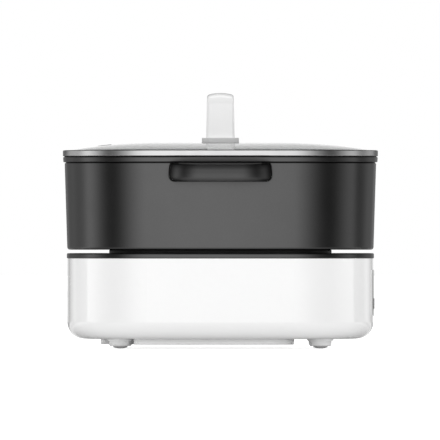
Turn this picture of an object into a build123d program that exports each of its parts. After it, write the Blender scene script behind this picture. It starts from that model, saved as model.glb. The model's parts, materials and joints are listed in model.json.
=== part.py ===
from build123d import *
import math
import os

# Electric hot pot with a lift-off pot and lid. Millimetres, +Z up, the control panel faces -Y and the
# pot's handles lie on the X axis. The origin is on the table, under the centre of the base.

# ---- plan shape: a square with bowed sides and round corners, given at the base shell's wall ----
BASE_HALF = 146.0  # half the width of the base shell
SIDE_RADIUS = 1000.0  # bow of each side
CORNER_RADIUS = 80.0  # round corner

# ---- heights, each counted from the piece below ----
SHELL_BOTTOM = 9.05  # above the table
SHELL_HEIGHT = 76.35
COVER_HEIGHT = 4.9
PLATE_STEP = 3.4
POT_HEIGHT = 88.3
SEAL_THICKNESS = 1.0
LID_RIM_HEIGHT = 5.9
DOME_RISE = 7.0
COLLAR_STEP = 4.1
LOOP_HEIGHT = 42.7

# ---- fits and cuts ----
SLIP = 0.1  # between pieces that are fixed together
FREE = 0.3  # between pieces that move past each other
PAST = 1.0  # a cut runs this far past the face it opens
WALL_CUT = 10.0  # a block that cuts or forms the wall reaches this far to each side of it
OVERLAP = 0.5  # joined blocks reach this far into each other
TIP_ROOM = 0.5  # left under a screw's tip

# ---- base shell and its cover ----
SHELL_WALL = 2.6
SHELL_EDGE = 16.0  # radius of the bottom edge
COVER_OVERHANG = 0.2
COVER_DECK = 3.0
COVER_EDGE = 1.0
LIP_WALL = 2.0
LIP_DEPTH = 6.5  # how far the cover's lip reaches below the shell's top
COLUMN_INSET = 39.0  # from the base's sides to the four screw columns
SHELL_COLUMN_R = 5.0
COVER_COLUMN_R = 4.2
COLUMN_SPLIT = 50.0  # height where the columns meet
SHELL_SCREW_R = 1.75
SHELL_SCREW_HEAD_R = 3.4
SHELL_SCREW_SEAT = 40.0
SHELL_SCREW_BITE = 14.0

# ---- heating plate, element and heat shield ----
PLATE_INSET = 40.1  # from the base's sides to the plate
PLATE_THICKNESS = 7.5
PLATE_EDGE = 1.0
GASKET_WIDTH = 2.4
GASKET_BELOW = 0.4  # below the cover's top
STUD_CLEAR = 4.7  # between the studs and the element
STUD_R = 7.0
STUD_SCREW_R = 2.0
STUD_SCREW_HEAD_R = 3.8
STUD_SCREW_BITE = 13.0
ELEMENT_INSET = 33.9  # from the plate's sides to the middle of the tube
ELEMENT_TUBE_R = 4.0
ELEMENT_LEG_R = 3.5
ELEMENT_SINK = 2.0  # how far the tube's axis lies below the plate's underside
ELEMENT_GAP_HALF = 12.0  # half the distance between its two ends
ELEMENT_PIN_R = 1.5
ELEMENT_PIN_LENGTH = 9.0
ELEMENT_LEG = 10.0
SHIELD_SHEET = 1.0
SHIELD_MARGIN = 6.1  # round the plate
SHIELD_FLANGE = 10.0
SHIELD_DEPTH = 25.4  # below the plate
SHIELD_SCREW_AT = 34.0
SHIELD_SCREW_R = 1.5
SHIELD_SCREW_HEAD_R = 2.8
SHIELD_BOSS_R = 4.0
SHIELD_BOSS_DEPTH = 3.0
SHIELD_SCREW_BITE = 5.0
HEAD_HEIGHT = 2.2  # of every small screw

# ---- temperature sensor in the middle of the plate ----
SENSOR_R = 14.0
SENSOR_WALL = 1.2
SENSOR_SKIRT = 9.0
SENSOR_BELOW_PLATE = 0.2
SENSOR_TRAVEL = 1.5
HOLDER_R = 10.5
HOLDER_WALL = 1.5
HOLDER_BELOW_CAP = 9.5
HOLDER_FLANGE_R = 17.0
HOLDER_FLANGE = 1.5
SPRING_R = 7.0
SPRING_WIRE_R = 0.6
SPRING_TURNS = 5

# ---- thermal fuse under the plate ----
FUSE_R = 3.0
FUSE_LENGTH = 22.0
FUSE_INSET = 26.0  # from the element to the fuse
CLIP_SHEET = 0.8
CLIP_WIDTH = 10.0
CLIP_EAR = 7.0

# ---- feet ----
FOOT_INSET = 51.2  # from the base's sides to the middle of a foot
FOOT_R = 10.7
FOOT_FLANGE_R = 12.4
FOOT_FLANGE = 1.75
FOOT_BOTTOM = 2.9
FOOT_CHAMFER = 1.6
PAD_R = 7.15
PAD_FLAT_R = 3.0
PAD_SHOULDER = 2.4  # height where the pad's dome begins
PAD_BULGE = 0.6
PAD_PLUG = 2.9
FOOT_WEB = 1.55
FOOT_SCREW_R = 1.75
FOOT_SCREW_HEAD_R = 3.4
FOOT_SCREW_BITE = 9.0
FOOT_BOSS_R = 4.5

# ---- bottom cover, a shallow tray set towards the back ----
TRAY_BOTTOM = 3.8
TRAY_CLEAR = 10.4  # between its sides and the feet
TRAY_FRONT_INSET = 76.2  # from the base's front
TRAY_BACK_INSET = 32.4  # from the base's back
TRAY_WALL = 2.0
TRAY_CORNER = 4.0
TRAY_LEDGE = 9.5  # width of the shell floor left over the tray's edge
TRAY_SCREW_IN = 5.5
TRAY_SCREW_R = 1.5
TRAY_SCREW_HEAD_R = 2.9
TRAY_BOSS_R = 4.0
TRAY_BOSS_HEIGHT = 7.0
VENT_SLOT = 3.0
VENT_PITCH = 8.0
VENT_COUNT = 7
VENT_LENGTH = 50.0
VENT_CENTRE_Y = 12.0

# ---- power board and what stands on it ----
BOARD_X = 100.0
BOARD_Y = 120.0
BOARD_CENTRE_Y = 20.0
BOARD_Z = 20.0
BOARD_THICKNESS = 1.6
BOARD_SCREW_IN = 6.0
BOARD_POST_R = 3.5
BOARD_POST_FLOOR = 2.0  # solid left under the posts' holes
BOARD_SCREW_R = 1.5
BOARD_SCREW_HEAD_R = 2.8
RELAY = (20.0, 16.0, 20.0)
RELAY_AT = (22.0, 40.0)
TRANSFORMER = (34.0, 28.0, 26.0)
TRANSFORMER_AT = (26.0, 4.0)
TRANSFORMER_YOKE = 6.0
COIL_PROUD = 3.0
COIL_ROUND = 2.0
CAPACITOR = (26.0, 12.0, 18.0)
CAPACITOR_AT = (-26.0, 4.0)
TERMINAL = (32.0, 12.0, 14.0)
TERMINAL_AT = (0.0, 70.0)
TERMINAL_HOLE_R = 2.2
TERMINAL_HOLE_DEPTH = 4.0
TAB = (8.0, 1.6, 12.0)
TAB_AT = (-22.0, 40.0)
SENSOR_SOCKET = (-10.0, 30.0)
COMPONENT_ROUND = 1.0

# ---- control panel on the front, with its window and keys ----
PANEL_HALF_X = 75.0
PANEL_BOTTOM = 31.4
PANEL_TOP = 74.3
PANEL_CORNER = 5.0
PANEL_PROUD = 0.6
PANEL_SINK = 1.6
PANEL_LEDGE = 4.0
PANEL_LEDGE_SIDE = 17.0
WINDOW_X = 46.0
WINDOW_Z = 15.0
WINDOW_CENTRE_Z = 61.0
WINDOW_CORNER = 2.0
KEY_NAMES = ("key_power", "key_minus", "key_plus", "key_mode", "key_timer")
KEY_PITCH = 24.0
KEY_Z = 42.5
KEY_R = 5.0
KEY_FLANGE_R = 6.4
KEY_FLANGE = 1.2
KEY_STEM_R = 2.0
KEY_PROUD = 0.25  # above the panel
KEY_TRAVEL = 0.6
CONTROL_BOARD_INSET = 15.0  # from the base's front to the board
CONTROL_BOARD_X = 140.0
CONTROL_BOARD_BOTTOM = 33.5
CONTROL_BOARD_TOP = 72.0
CONTROL_SCREW_X = 65.0
CONTROL_SCREW_IN = 5.0
CONTROL_BOSS_R = 3.5
CONTROL_SCREW_R = 1.25
CONTROL_SCREW_HEAD_R = 2.4
CONTROL_SCREW_BITE = 6.0
SWITCH_SIDE = 6.0
SWITCH_HEIGHT = 3.6
SWITCH_BUTTON_R = 1.7
SWITCH_BUTTON = 1.0
DISPLAY_BEHIND_WINDOW = 0.6
DISPLAY_MARGIN = 1.0
DISPLAY_EDGE = 1.0

# ---- power inlet at the back ----
INLET_HALF_X = 24.0
INLET_BOTTOM = 24.0
INLET_TOP = 54.0
INLET_DEPTH = 28.0
INLET_WALL = 6.0
INLET_WELL = 22.0
INLET_CORNER = 3.0
INLET_EAR = 9.0
INLET_EAR_THICKNESS = 2.6
INLET_EAR_MARGIN = 1.0
INLET_BOSS = 3.0
INLET_BOSS_R = 4.0
INLET_SCREW_BITE = 4.0
INLET_SCREW_R = 1.5
INLET_SCREW_HEAD_R = 2.8
INLET_PIN_R = 2.2
INLET_PIN_PITCH = 11.0
INLET_PIN_REACH = 12.0
INLET_TAIL = 9.0

# ---- pot ----
POT_OVERHANG = 2.2  # of its mouth over the base's sides
POT_TAPER = 2.7
POT_WALL = 3.0
POT_FLOOR = 5.0
POT_EDGE = 2.5
POT_INNER_EDGE = 8.0
RIM_PROUD = 1.1
RIM_HEIGHT = 5.0

# ---- pot handles: D loops under the rim ----
GRIP_LENGTH = 98.3
GRIP_STAND = 34.8  # from the pot's mouth to the grip's outer face
GRIP_CORNER = 22.0
GRIP_BELOW_RIM = 6.1  # at the wall
GRIP_HEIGHT = 16.0
GRIP_DROOP = 1.9
GRIP_BAR = 12.5
GRIP_ROUND = 5.0
GRIP_ROOT = 4.0
GRIP_ROOT_STEP = 0.6
GRIP_ROOT_ROUND = 1.5
LUG_WIDTH = 7.5
LUG_REACH = 7.0
LUG_HEIGHT = 8.0
LUG_SCREW_R = 2.0
LUG_SCREW_SHIFT = 0.5
LUG_SCREW_HEAD_R = 3.4
LUG_SCREW_BITE = 6.5

# ---- lid ----
LID_PROUD = 0.7  # of the pot's rim
LID_SHEET = 0.8
LID_LEAF = 10.5  # width of the rim's top leaf
LID_LOWER_LEAF = 7.2
LID_RIM_ROUND = 1.2
GLASS_THICKNESS = 4.0
GLASS_INSET = 1.4  # from the rim's outside
DOME_POWER = 3.3  # how squarely the dome turns down to its edge
SEAL_INSET = 1.4
SEAL_WALL = 1.6
SEAL_DEPTH = 4.5
SEAL_GAP = 0.8  # between the seal's skirt and the pot's mouth
VENT_INSET = 29.5  # from the rim's inner edge
VENT_HEAD_R = 6.5
VENT_HEAD = 0.9
VENT_NECK_R = 4.5
VENT_HOLE_R = 1.75
VENT_TAIL = 3.0

# ---- lid handle: an upright strap loop on a collar ----
LOOP_LENGTH = 84.0
LOOP_FOOT_WIDTH = 27.1
LOOP_TOP_WIDTH = 25.2
LOOP_LEG = 9.5
LOOP_BRIDGE = 9.5
LOOP_SOLE = 9.0
LOOP_CORNER = 11.0
LOOP_GAP_CORNER = 8.0
LOOP_ROUND = 3.0
LOOP_GAP_ROUND = 2.0
COLLAR_MARGIN = 4.05
COLLAR_DEPTH = 5.7
COLLAR_ROUND = 1.0
COLLAR_END_FLAT = 0.05  # half the flat left in its round ends
HANDLE_BOLT_AT = 24.0
HANDLE_BOLT_R = 2.5
HANDLE_BOLT_HEAD_R = 4.5
HANDLE_BOLT_HEAD = 2.6
HANDLE_BOLT_BITE = 7.0
WASHER_R = 8.0
WASHER = 1.6

# ---- leads inside the base ----
MAINS_LEAD_R = 1.6
HEATER_LEAD_R = 1.5
SENSOR_LEAD_R = 1.1
LEAD_BEND = 5.0
RIBBON_WIDTH = 14.0
RIBBON_THICKNESS = 0.8
RIBBON_BEND = 3.0
RIBBON_IN = 8.0  # from the board's front edge
RIBBON_RISE = 10.0
RIBBON_STAND = 11.0  # behind the control board

# ---- heights that follow ----
SHELL_TOP = SHELL_BOTTOM + SHELL_HEIGHT
COVER_TOP = SHELL_TOP + COVER_HEIGHT
PLATE_TOP = COVER_TOP + PLATE_STEP
POT_TOP = PLATE_TOP + POT_HEIGHT
LID_RIM_BOTTOM = POT_TOP + SEAL_THICKNESS
LID_RIM_TOP = LID_RIM_BOTTOM + LID_RIM_HEIGHT
DOME_TOP = LID_RIM_TOP + DOME_RISE
COLLAR_TOP = DOME_TOP + COLLAR_STEP
HANDLE_TOP = COLLAR_TOP + LOOP_HEIGHT
GRIP_TOP = POT_TOP - GRIP_BELOW_RIM

# ---- places that follow ----
PLATE_HALF = BASE_HALF - PLATE_INSET
COLUMN_AT = BASE_HALF - COLUMN_INSET
FOOT_AT = BASE_HALF - FOOT_INSET
TRAY_HALF_X = FOOT_AT - FOOT_FLANGE_R - TRAY_CLEAR
TRAY_FRONT = TRAY_FRONT_INSET - BASE_HALF
TRAY_BACK = BASE_HALF - TRAY_BACK_INSET
CONTROL_BOARD_Y = CONTROL_BOARD_INSET - BASE_HALF  # front face of the board
ELEMENT_LOOP_R = PLATE_HALF - ELEMENT_INSET
STUD_AT = (ELEMENT_LOOP_R + ELEMENT_TUBE_R + STUD_CLEAR + STUD_R) * math.sqrt(0.5)
FUSE_AT = ELEMENT_LOOP_R - FUSE_INSET
SHIELD_HALF = PLATE_HALF + SHIELD_MARGIN
POT_TOP_HALF = BASE_HALF + POT_OVERHANG
POT_BOTTOM_HALF = POT_TOP_HALF - POT_TAPER
RIM_HALF = POT_TOP_HALF + RIM_PROUD
GRIP_REACH = POT_TOP_HALF + GRIP_STAND
LID_HALF = RIM_HALF + LID_PROUD
LID_OPENING_HALF = LID_HALF - LID_LEAF
LID_LEAF_HALF = LID_HALF - LID_LOWER_LEAF
GLASS_HALF = LID_HALF - GLASS_INSET
SEAL_HALF = LID_HALF - SEAL_INSET
VENT_Y = LID_OPENING_HALF - VENT_INSET

# ---- faces that follow ----
DECK_BOTTOM = COVER_TOP - COVER_DECK
PLATE_BOTTOM = PLATE_TOP - PLATE_THICKNESS
PLATE_OPENING_HALF = PLATE_HALF + GASKET_WIDTH + 2 * SLIP
SHELL_FLOOR = SHELL_BOTTOM + SHELL_WALL
INNER_HALF = BASE_HALF - SHELL_WALL
SHIELD_FLANGE_TOP = DECK_BOTTOM - SHIELD_BOSS_DEPTH
SHIELD_FLOOR = PLATE_BOTTOM - SHIELD_DEPTH
ELEMENT_Z = PLATE_BOTTOM - ELEMENT_SINK
POT_BOTTOM = PLATE_TOP
POT_MOUTH_HALF = POT_TOP_HALF - POT_WALL
DOME_BASE = LID_RIM_TOP - LID_SHEET  # the glass at the rim's inner edge
SENSOR_TOP = PLATE_TOP - SENSOR_BELOW_PLATE
HOLDER_TOP = SENSOR_TOP - HOLDER_BELOW_CAP
TRAY_FLOOR = TRAY_BOTTOM + TRAY_WALL
INLET_Z = (INLET_BOTTOM + INLET_TOP) / 2
BOARD_TOP = BOARD_Z + BOARD_THICKNESS
PANEL_OUTER_HALF = BASE_HALF + PANEL_PROUD
PANEL_INNER_HALF = BASE_HALF - PANEL_SINK


# ---- shapes used all over ----
def bowed_square(half, side, corner):
    """Face in XY: four arcs of radius `side` through +-half, joined by tangent arcs of radius `corner`."""
    side_centre = half - side
    reach = side - corner
    centre = (side_centre + math.sqrt(2 * reach**2 - side_centre**2)) / 2
    end_x = side_centre + side * (centre - side_centre) / reach
    end_y = side * centre / reach
    diagonal = centre + corner * math.sqrt(0.5)
    edges = Curve()
    for quarter in range(4):
        turn = Rotation(0, 0, 90 * quarter)
        edges += turn * ThreePointArc((end_x, -end_y), (half, 0), (end_x, end_y))
        edges += turn * ThreePointArc((end_x, end_y), (diagonal, diagonal), (end_y, end_x))
    return make_face(edges)


def parallel_square(half):
    """The plan shape drawn parallel to the base shell's wall, at another half width."""
    step = half - BASE_HALF
    return bowed_square(half, SIDE_RADIUS + step, CORNER_RADIUS + step)


def prism(half, low, high):
    """Upright block of the plan shape, between two heights."""
    return Pos(0, 0, low) * extrude(parallel_square(half), amount=high - low)


def ring(outer, inner, low, high):
    """Upright ring between two parallel plan shapes."""
    return prism(outer, low, high) - prism(inner, low, high)


def flared(half_low, half_high, low, high):
    """Block whose plan shape grows evenly from one half width to another."""
    faces = [Pos(0, 0, low) * parallel_square(half_low), Pos(0, 0, high) * parallel_square(half_high)]
    return loft(faces, ruled=True)


def rod(radius, low, high, x=0.0, y=0.0):
    """Upright cylinder between two heights."""
    return Pos(x, y, low) * extrude(Circle(radius), amount=high - low)


def rod_y(radius, low, high, x=0.0, z=0.0):
    """Cylinder along Y between two places."""
    return Pos(x, low, z) * Rotation(-90, 0, 0) * extrude(Circle(radius), amount=high - low)


def block(x_low, x_high, y_low, y_high, z_low, z_high):
    """Box between two corners."""
    size = (x_high - x_low, y_high - y_low, z_high - z_low)
    corner = (x_low, y_low, z_low)
    return Pos(*corner) * Box(*size, align=(Align.MIN, Align.MIN, Align.MIN))


def round_block_z(x_low, x_high, y_low, y_high, z_low, z_high, radius):
    """Box with its upright edges rounded."""
    face = Pos((x_low + x_high) / 2, (y_low + y_high) / 2, z_low) * RectangleRounded(
        x_high - x_low, y_high - y_low, radius
    )
    return extrude(face, amount=z_high - z_low)


def round_block_y(x_low, x_high, y_low, y_high, z_low, z_high, radius):
    """Box with the edges along Y rounded."""
    face = RectangleRounded(x_high - x_low, z_high - z_low, radius)
    turned = Pos((x_low + x_high) / 2, y_low, (z_low + z_high) / 2) * Rotation(-90, 0, 0)
    return turned * extrude(face, amount=y_high - y_low)


def screw_up(head_bottom, head_height, tip, shank_radius, head_radius, x, y):
    """Screw driven upwards: head below, shank above."""
    seat = head_bottom + head_height
    return rod(head_radius, head_bottom, seat, x, y) + rod(shank_radius, seat, tip, x, y)


def corners(x, y):
    """The four places at +-x, +-y."""
    return [(sign_x * x, sign_y * y) for sign_y in (-1, 1) for sign_x in (-1, 1)]


def joined(pieces):
    """One solid from pieces that touch."""
    total = pieces[0]
    for piece in pieces[1:]:
        total += piece
    return total


def grouped(pieces):
    """Separate solids kept together in one node."""
    return Compound(children=[solid for piece in pieces for solid in piece.solids()])


def edges_at(shape, height):
    """Edges that lie in a level plane."""
    near = 1e-3
    return shape.edges().filter_by(
        lambda edge: abs(edge.bounding_box().min.Z - height) < near
        and abs(edge.bounding_box().max.Z - height) < near
    )


def swept_lead(points, radius, bend=LEAD_BEND):
    """Round lead along straight runs joined by tangent arcs."""
    path = FilletPolyline(*points, radius=bend)
    start = Plane(origin=path @ 0, z_dir=path % 0)
    return sweep(start * Circle(radius), path=path)


# ---- base ----
def tray_opening(low, high):
    """Block of the opening that the bottom cover closes."""
    return round_block_z(
        TRAY_LEDGE - TRAY_HALF_X,
        TRAY_HALF_X - TRAY_LEDGE,
        TRAY_FRONT + TRAY_LEDGE,
        TRAY_BACK - TRAY_LEDGE,
        low,
        high,
        TRAY_CORNER,
    )


def tray_screw_places():
    middle = (TRAY_FRONT + TRAY_BACK) / 2
    reach_x = TRAY_HALF_X - TRAY_SCREW_IN
    reach_y = (TRAY_BACK - TRAY_FRONT) / 2 - TRAY_SCREW_IN
    return [(x, middle + y) for x, y in corners(reach_x, reach_y)]


def panel_block(margin_x, margin_z, y_high):
    """Block behind the control panel's outline, drawn in by a margin."""
    corner = PANEL_CORNER - min(margin_x, margin_z)
    return round_block_y(
        -PANEL_HALF_X + margin_x,
        PANEL_HALF_X - margin_x,
        -BASE_HALF - WALL_CUT,
        y_high,
        PANEL_BOTTOM + margin_z,
        PANEL_TOP - margin_z,
        corner,
    )


def control_screw_places():
    low = CONTROL_BOARD_BOTTOM + CONTROL_SCREW_IN
    high = CONTROL_BOARD_TOP - CONTROL_SCREW_IN
    return [(x, z) for x in (-CONTROL_SCREW_X, CONTROL_SCREW_X) for z in (low, high)]


def inlet_screw_places():
    reach = INLET_HALF_X + INLET_EAR / 2
    return [(-reach, INLET_Z), (reach, INLET_Z)]


def wall_sag(reach):
    """How far a bowed side falls back at some distance from its middle."""
    return SIDE_RADIUS - math.sqrt(SIDE_RADIUS**2 - reach**2)


def inlet_ear_front():
    """Y of the face of the inlet's ears that bears on the shell's bosses."""
    return INNER_HALF - wall_sag(INLET_HALF_X + INLET_EAR) - INLET_BOSS


def shell_bosses():
    """Screw columns, foot bosses and tray bosses that stand on the shell's floor."""
    low = SHELL_FLOOR - PAST
    foot_high = SHELL_FLOOR + FOOT_SCREW_BITE
    tray_high = SHELL_FLOOR + TRAY_BOSS_HEIGHT
    columns = [rod(SHELL_COLUMN_R, low, COLUMN_SPLIT, x, y) for x, y in corners(COLUMN_AT, COLUMN_AT)]
    feet = [rod(FOOT_BOSS_R, low, foot_high, x, y) for x, y in corners(FOOT_AT, FOOT_AT)]
    tray = [rod(TRAY_BOSS_R, low, tray_high, x, y) for x, y in tray_screw_places()]
    return columns + feet + tray


def wall_bosses():
    """Bosses on the shell's wall for the control board and the inlet."""
    inside = prism(PANEL_INNER_HALF, SHELL_BOTTOM, SHELL_TOP)
    ear = inlet_ear_front()
    front = [rod_y(CONTROL_BOSS_R, -BASE_HALF, CONTROL_BOARD_Y, x, z) for x, z in control_screw_places()]
    back = [rod_y(INLET_BOSS_R, ear, BASE_HALF, x, z) for x, z in inlet_screw_places()]
    return [boss & inside for boss in front + back]


def shell_screw_holes():
    head_low = SHELL_BOTTOM - PAST
    tray_high = SHELL_FLOOR + TRAY_BOSS_HEIGHT - PAST
    control_y = CONTROL_BOARD_Y - CONTROL_SCREW_BITE
    ear = inlet_ear_front()
    holes = []
    for x, y in corners(COLUMN_AT, COLUMN_AT):
        holes.append(rod(SHELL_SCREW_HEAD_R + SLIP, head_low, SHELL_SCREW_SEAT, x, y))
        holes.append(rod(SHELL_SCREW_R + SLIP, SHELL_SCREW_SEAT - PAST, COLUMN_SPLIT + PAST, x, y))
    for x, y in corners(FOOT_AT, FOOT_AT):
        holes.append(rod(FOOT_SCREW_R, head_low, SHELL_BOTTOM + FOOT_SCREW_BITE, x, y))
    for x, y in tray_screw_places():
        holes.append(rod(TRAY_SCREW_R, head_low, tray_high, x, y))
    for x, z in control_screw_places():
        holes.append(rod_y(CONTROL_SCREW_R, control_y, CONTROL_BOARD_Y + PAST, x, z))
    for x, z in inlet_screw_places():
        holes.append(rod_y(INLET_SCREW_R, ear - PAST, ear + INLET_SCREW_BITE, x, z))
    return holes


def make_base_shell():
    body = prism(BASE_HALF, SHELL_BOTTOM, SHELL_TOP)
    body = fillet(edges_at(body, SHELL_BOTTOM), SHELL_EDGE)
    hollow = prism(INNER_HALF, SHELL_FLOOR, SHELL_TOP + SHELL_EDGE)
    body -= fillet(edges_at(hollow, SHELL_FLOOR), SHELL_EDGE - SHELL_WALL)
    body -= tray_opening(SHELL_BOTTOM - PAST, SHELL_FLOOR + PAST)
    body = joined([body] + shell_bosses())
    pocket = ring(BASE_HALF + PAST, PANEL_INNER_HALF, PANEL_BOTTOM, PANEL_TOP)
    body -= pocket & panel_block(0, 0, 0)
    body -= panel_block(PANEL_LEDGE_SIDE, PANEL_LEDGE, WALL_CUT - INNER_HALF)
    body = joined([body] + wall_bosses())
    body -= inlet_block(SLIP, INNER_HALF - WALL_CUT, BASE_HALF + WALL_CUT)
    for hole in shell_screw_holes():
        body -= hole
    return body


def make_top_cover():
    body = prism(BASE_HALF + COVER_OVERHANG, SHELL_TOP, COVER_TOP)
    body = fillet(edges_at(body, COVER_TOP), COVER_EDGE)
    lip = INNER_HALF - SLIP
    body -= prism(lip, SHELL_TOP - PAST, DECK_BOTTOM)
    body += ring(lip, lip - LIP_WALL, SHELL_TOP - LIP_DEPTH, DECK_BOTTOM + OVERLAP)
    body -= prism(PLATE_OPENING_HALF, DECK_BOTTOM - PAST, COVER_TOP + PAST)
    high = DECK_BOTTOM + PAST
    columns = [rod(COVER_COLUMN_R, COLUMN_SPLIT, high, x, y) for x, y in corners(COLUMN_AT, COLUMN_AT)]
    columns += [rod(SHIELD_BOSS_R, SHIELD_FLANGE_TOP, high, x, y) for x, y in shield_screw_places()]
    body = joined([body] + columns)
    for x, y in corners(COLUMN_AT, COLUMN_AT):
        body -= rod(SHELL_SCREW_R, COLUMN_SPLIT - PAST, COLUMN_SPLIT + SHELL_SCREW_BITE, x, y)
    for x, y in shield_screw_places():
        body -= rod(SHIELD_SCREW_R, SHIELD_FLANGE_TOP - PAST, SHIELD_FLANGE_TOP + SHIELD_SCREW_BITE, x, y)
    return body


def shield_screw_places():
    reach = SHIELD_HALF + (SHIELD_FLANGE + SHIELD_SHEET) / 2
    return corners(reach, SHIELD_SCREW_AT) + corners(SHIELD_SCREW_AT, reach)


def element_end_y():
    return math.sqrt(ELEMENT_LOOP_R**2 - ELEMENT_GAP_HALF**2)


def element_groove(grow):
    """The bent tube: a ring open at the back, whose ends turn down."""
    opening = math.degrees(math.asin(ELEMENT_GAP_HALF / ELEMENT_LOOP_R))
    section = Plane.XZ * Pos(ELEMENT_LOOP_R, 0) * Circle(ELEMENT_TUBE_R + grow)
    loop = revolve(section, axis=Axis.Z, revolution_arc=360 - 2 * opening)
    loop = Pos(0, 0, ELEMENT_Z) * Rotation(0, 0, 90 + opening) * loop
    for x in (-ELEMENT_GAP_HALF, ELEMENT_GAP_HALF):
        loop += rod(ELEMENT_LEG_R + grow, ELEMENT_Z - ELEMENT_LEG, ELEMENT_Z, x, element_end_y())
    return loop


def make_heating_plate():
    body = prism(PLATE_HALF, PLATE_BOTTOM, PLATE_TOP)
    body = fillet(edges_at(body, PLATE_TOP), PLATE_EDGE)
    seat = SHIELD_FLOOR + SHIELD_SHEET
    studs = [rod(STUD_R, seat, PLATE_BOTTOM + PAST, x, y) for x, y in corners(STUD_AT, STUD_AT)]
    body = joined([body] + studs)
    body -= element_groove(SLIP / 2)
    body -= rod(SENSOR_R + FREE, PLATE_BOTTOM - PAST, PLATE_TOP + PAST)
    for x, y in corners(STUD_AT, STUD_AT):
        body -= rod(STUD_SCREW_R, seat - PAST, seat + STUD_SCREW_BITE, x, y)
    return body


def make_plate_gasket():
    inner = PLATE_HALF + SLIP
    return ring(inner + GASKET_WIDTH, inner, DECK_BOTTOM, COVER_TOP - GASKET_BELOW)


def make_heating_element():
    high = ELEMENT_Z - ELEMENT_LEG
    low = high - ELEMENT_PIN_LENGTH
    ends = (-ELEMENT_GAP_HALF, ELEMENT_GAP_HALF)
    pins = [rod(ELEMENT_PIN_R, low, high, x, element_end_y()) for x in ends]
    return joined([element_groove(0)] + pins)


def make_heat_shield():
    top = SHIELD_FLANGE_TOP
    body = prism(SHIELD_HALF, SHIELD_FLOOR, top)
    body -= prism(SHIELD_HALF - SHIELD_SHEET, SHIELD_FLOOR + SHIELD_SHEET, top + PAST)
    body += ring(SHIELD_HALF + SHIELD_FLANGE, SHIELD_HALF - SHIELD_SHEET, top - SHIELD_SHEET, top)
    low, high = SHIELD_FLOOR - PAST, SHIELD_FLOOR + SHIELD_SHEET + PAST
    body -= rod(HOLDER_R, low, high)
    for x, y in corners(STUD_AT, STUD_AT):
        body -= rod(STUD_SCREW_R + SLIP, low, high, x, y)
    for x, y in shield_screw_places():
        body -= rod(SHIELD_SCREW_R + SLIP, top - SHIELD_SHEET - PAST, top + PAST, x, y)
    for x in (-ELEMENT_GAP_HALF, ELEMENT_GAP_HALF):
        body -= rod(ELEMENT_TUBE_R, low, high, x, element_end_y())
    return body


def make_plate_bolts():
    head = SHIELD_FLOOR - HEAD_HEIGHT
    tip = SHIELD_FLOOR + SHIELD_SHEET + STUD_SCREW_BITE - TIP_ROOM
    return grouped(
        screw_up(head, HEAD_HEIGHT, tip, STUD_SCREW_R, STUD_SCREW_HEAD_R, x, y)
        for x, y in corners(STUD_AT, STUD_AT)
    )


def make_shield_screws():
    head = SHIELD_FLANGE_TOP - SHIELD_SHEET - HEAD_HEIGHT
    tip = SHIELD_FLANGE_TOP + SHIELD_SCREW_BITE - TIP_ROOM
    return grouped(
        screw_up(head, HEAD_HEIGHT, tip, SHIELD_SCREW_R, SHIELD_SCREW_HEAD_R, x, y)
        for x, y in shield_screw_places()
    )


def make_sensor_holder():
    floor = SHIELD_FLOOR + SHIELD_SHEET
    body = rod(HOLDER_FLANGE_R, floor, floor + HOLDER_FLANGE) + rod(HOLDER_R, floor, HOLDER_TOP)
    body -= rod(HOLDER_R - HOLDER_WALL, floor + HOLDER_FLANGE, HOLDER_TOP + PAST)
    return body - rod(SENSOR_LEAD_R + SLIP, floor - PAST, floor + HOLDER_FLANGE + PAST)


def make_sensor_cap():
    low = SENSOR_TOP - SENSOR_SKIRT
    outer = rod(SENSOR_R, low, SENSOR_TOP)
    outer = fillet(edges_at(outer, SENSOR_TOP), SENSOR_WALL)
    return outer - rod(SENSOR_R - SENSOR_WALL, low - PAST, SENSOR_TOP - SENSOR_WALL)


def make_sensor_spring():
    low = SHIELD_FLOOR + SHIELD_SHEET + HOLDER_FLANGE + SPRING_WIRE_R + SLIP
    high = SENSOR_TOP - SENSOR_WALL - SPRING_WIRE_R - SLIP
    path = Helix(pitch=(high - low) / SPRING_TURNS, height=high - low, radius=SPRING_R)
    start = Plane(origin=path @ 0, z_dir=path % 0)
    return Pos(0, 0, low) * sweep(start * Circle(SPRING_WIRE_R), path=path, is_frenet=True)


def make_thermal_fuse():
    body = Rotation(0, 90, 0) * extrude(Circle(FUSE_R), amount=FUSE_LENGTH / 2, both=True)
    return Pos(0, FUSE_AT, PLATE_BOTTOM - FUSE_R) * body


def make_fuse_clip():
    """Strap bent round the fuse, with one ear each side against the plate."""
    inner = FUSE_R + SLIP / 2
    outer = inner + CLIP_SHEET
    ear = outer + CLIP_EAR
    half = CLIP_WIDTH / 2
    axis = PLATE_BOTTOM - FUSE_R
    place = Pos(0, FUSE_AT, axis) * Rotation(0, 90, 0)
    strap = place * extrude(Circle(outer), amount=half, both=True)
    strap += block(-half, half, FUSE_AT - outer, FUSE_AT + outer, axis, PLATE_BOTTOM)
    strap += block(-half, half, FUSE_AT - ear, FUSE_AT + ear, PLATE_BOTTOM - CLIP_SHEET, PLATE_BOTTOM)
    strap -= block(-CLIP_WIDTH, CLIP_WIDTH, FUSE_AT - inner, FUSE_AT + inner, axis, PLATE_TOP)
    return strap - place * extrude(Circle(inner), amount=CLIP_WIDTH, both=True)


def make_shell_screws():
    head = SHELL_SCREW_SEAT - HEAD_HEIGHT
    tip = COLUMN_SPLIT + SHELL_SCREW_BITE - TIP_ROOM
    return grouped(
        screw_up(head, HEAD_HEIGHT, tip, SHELL_SCREW_R, SHELL_SCREW_HEAD_R, x, y)
        for x, y in corners(COLUMN_AT, COLUMN_AT)
    )


# ---- feet ----
def foot_pocket_top():
    return SHELL_BOTTOM - FOOT_WEB


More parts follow.
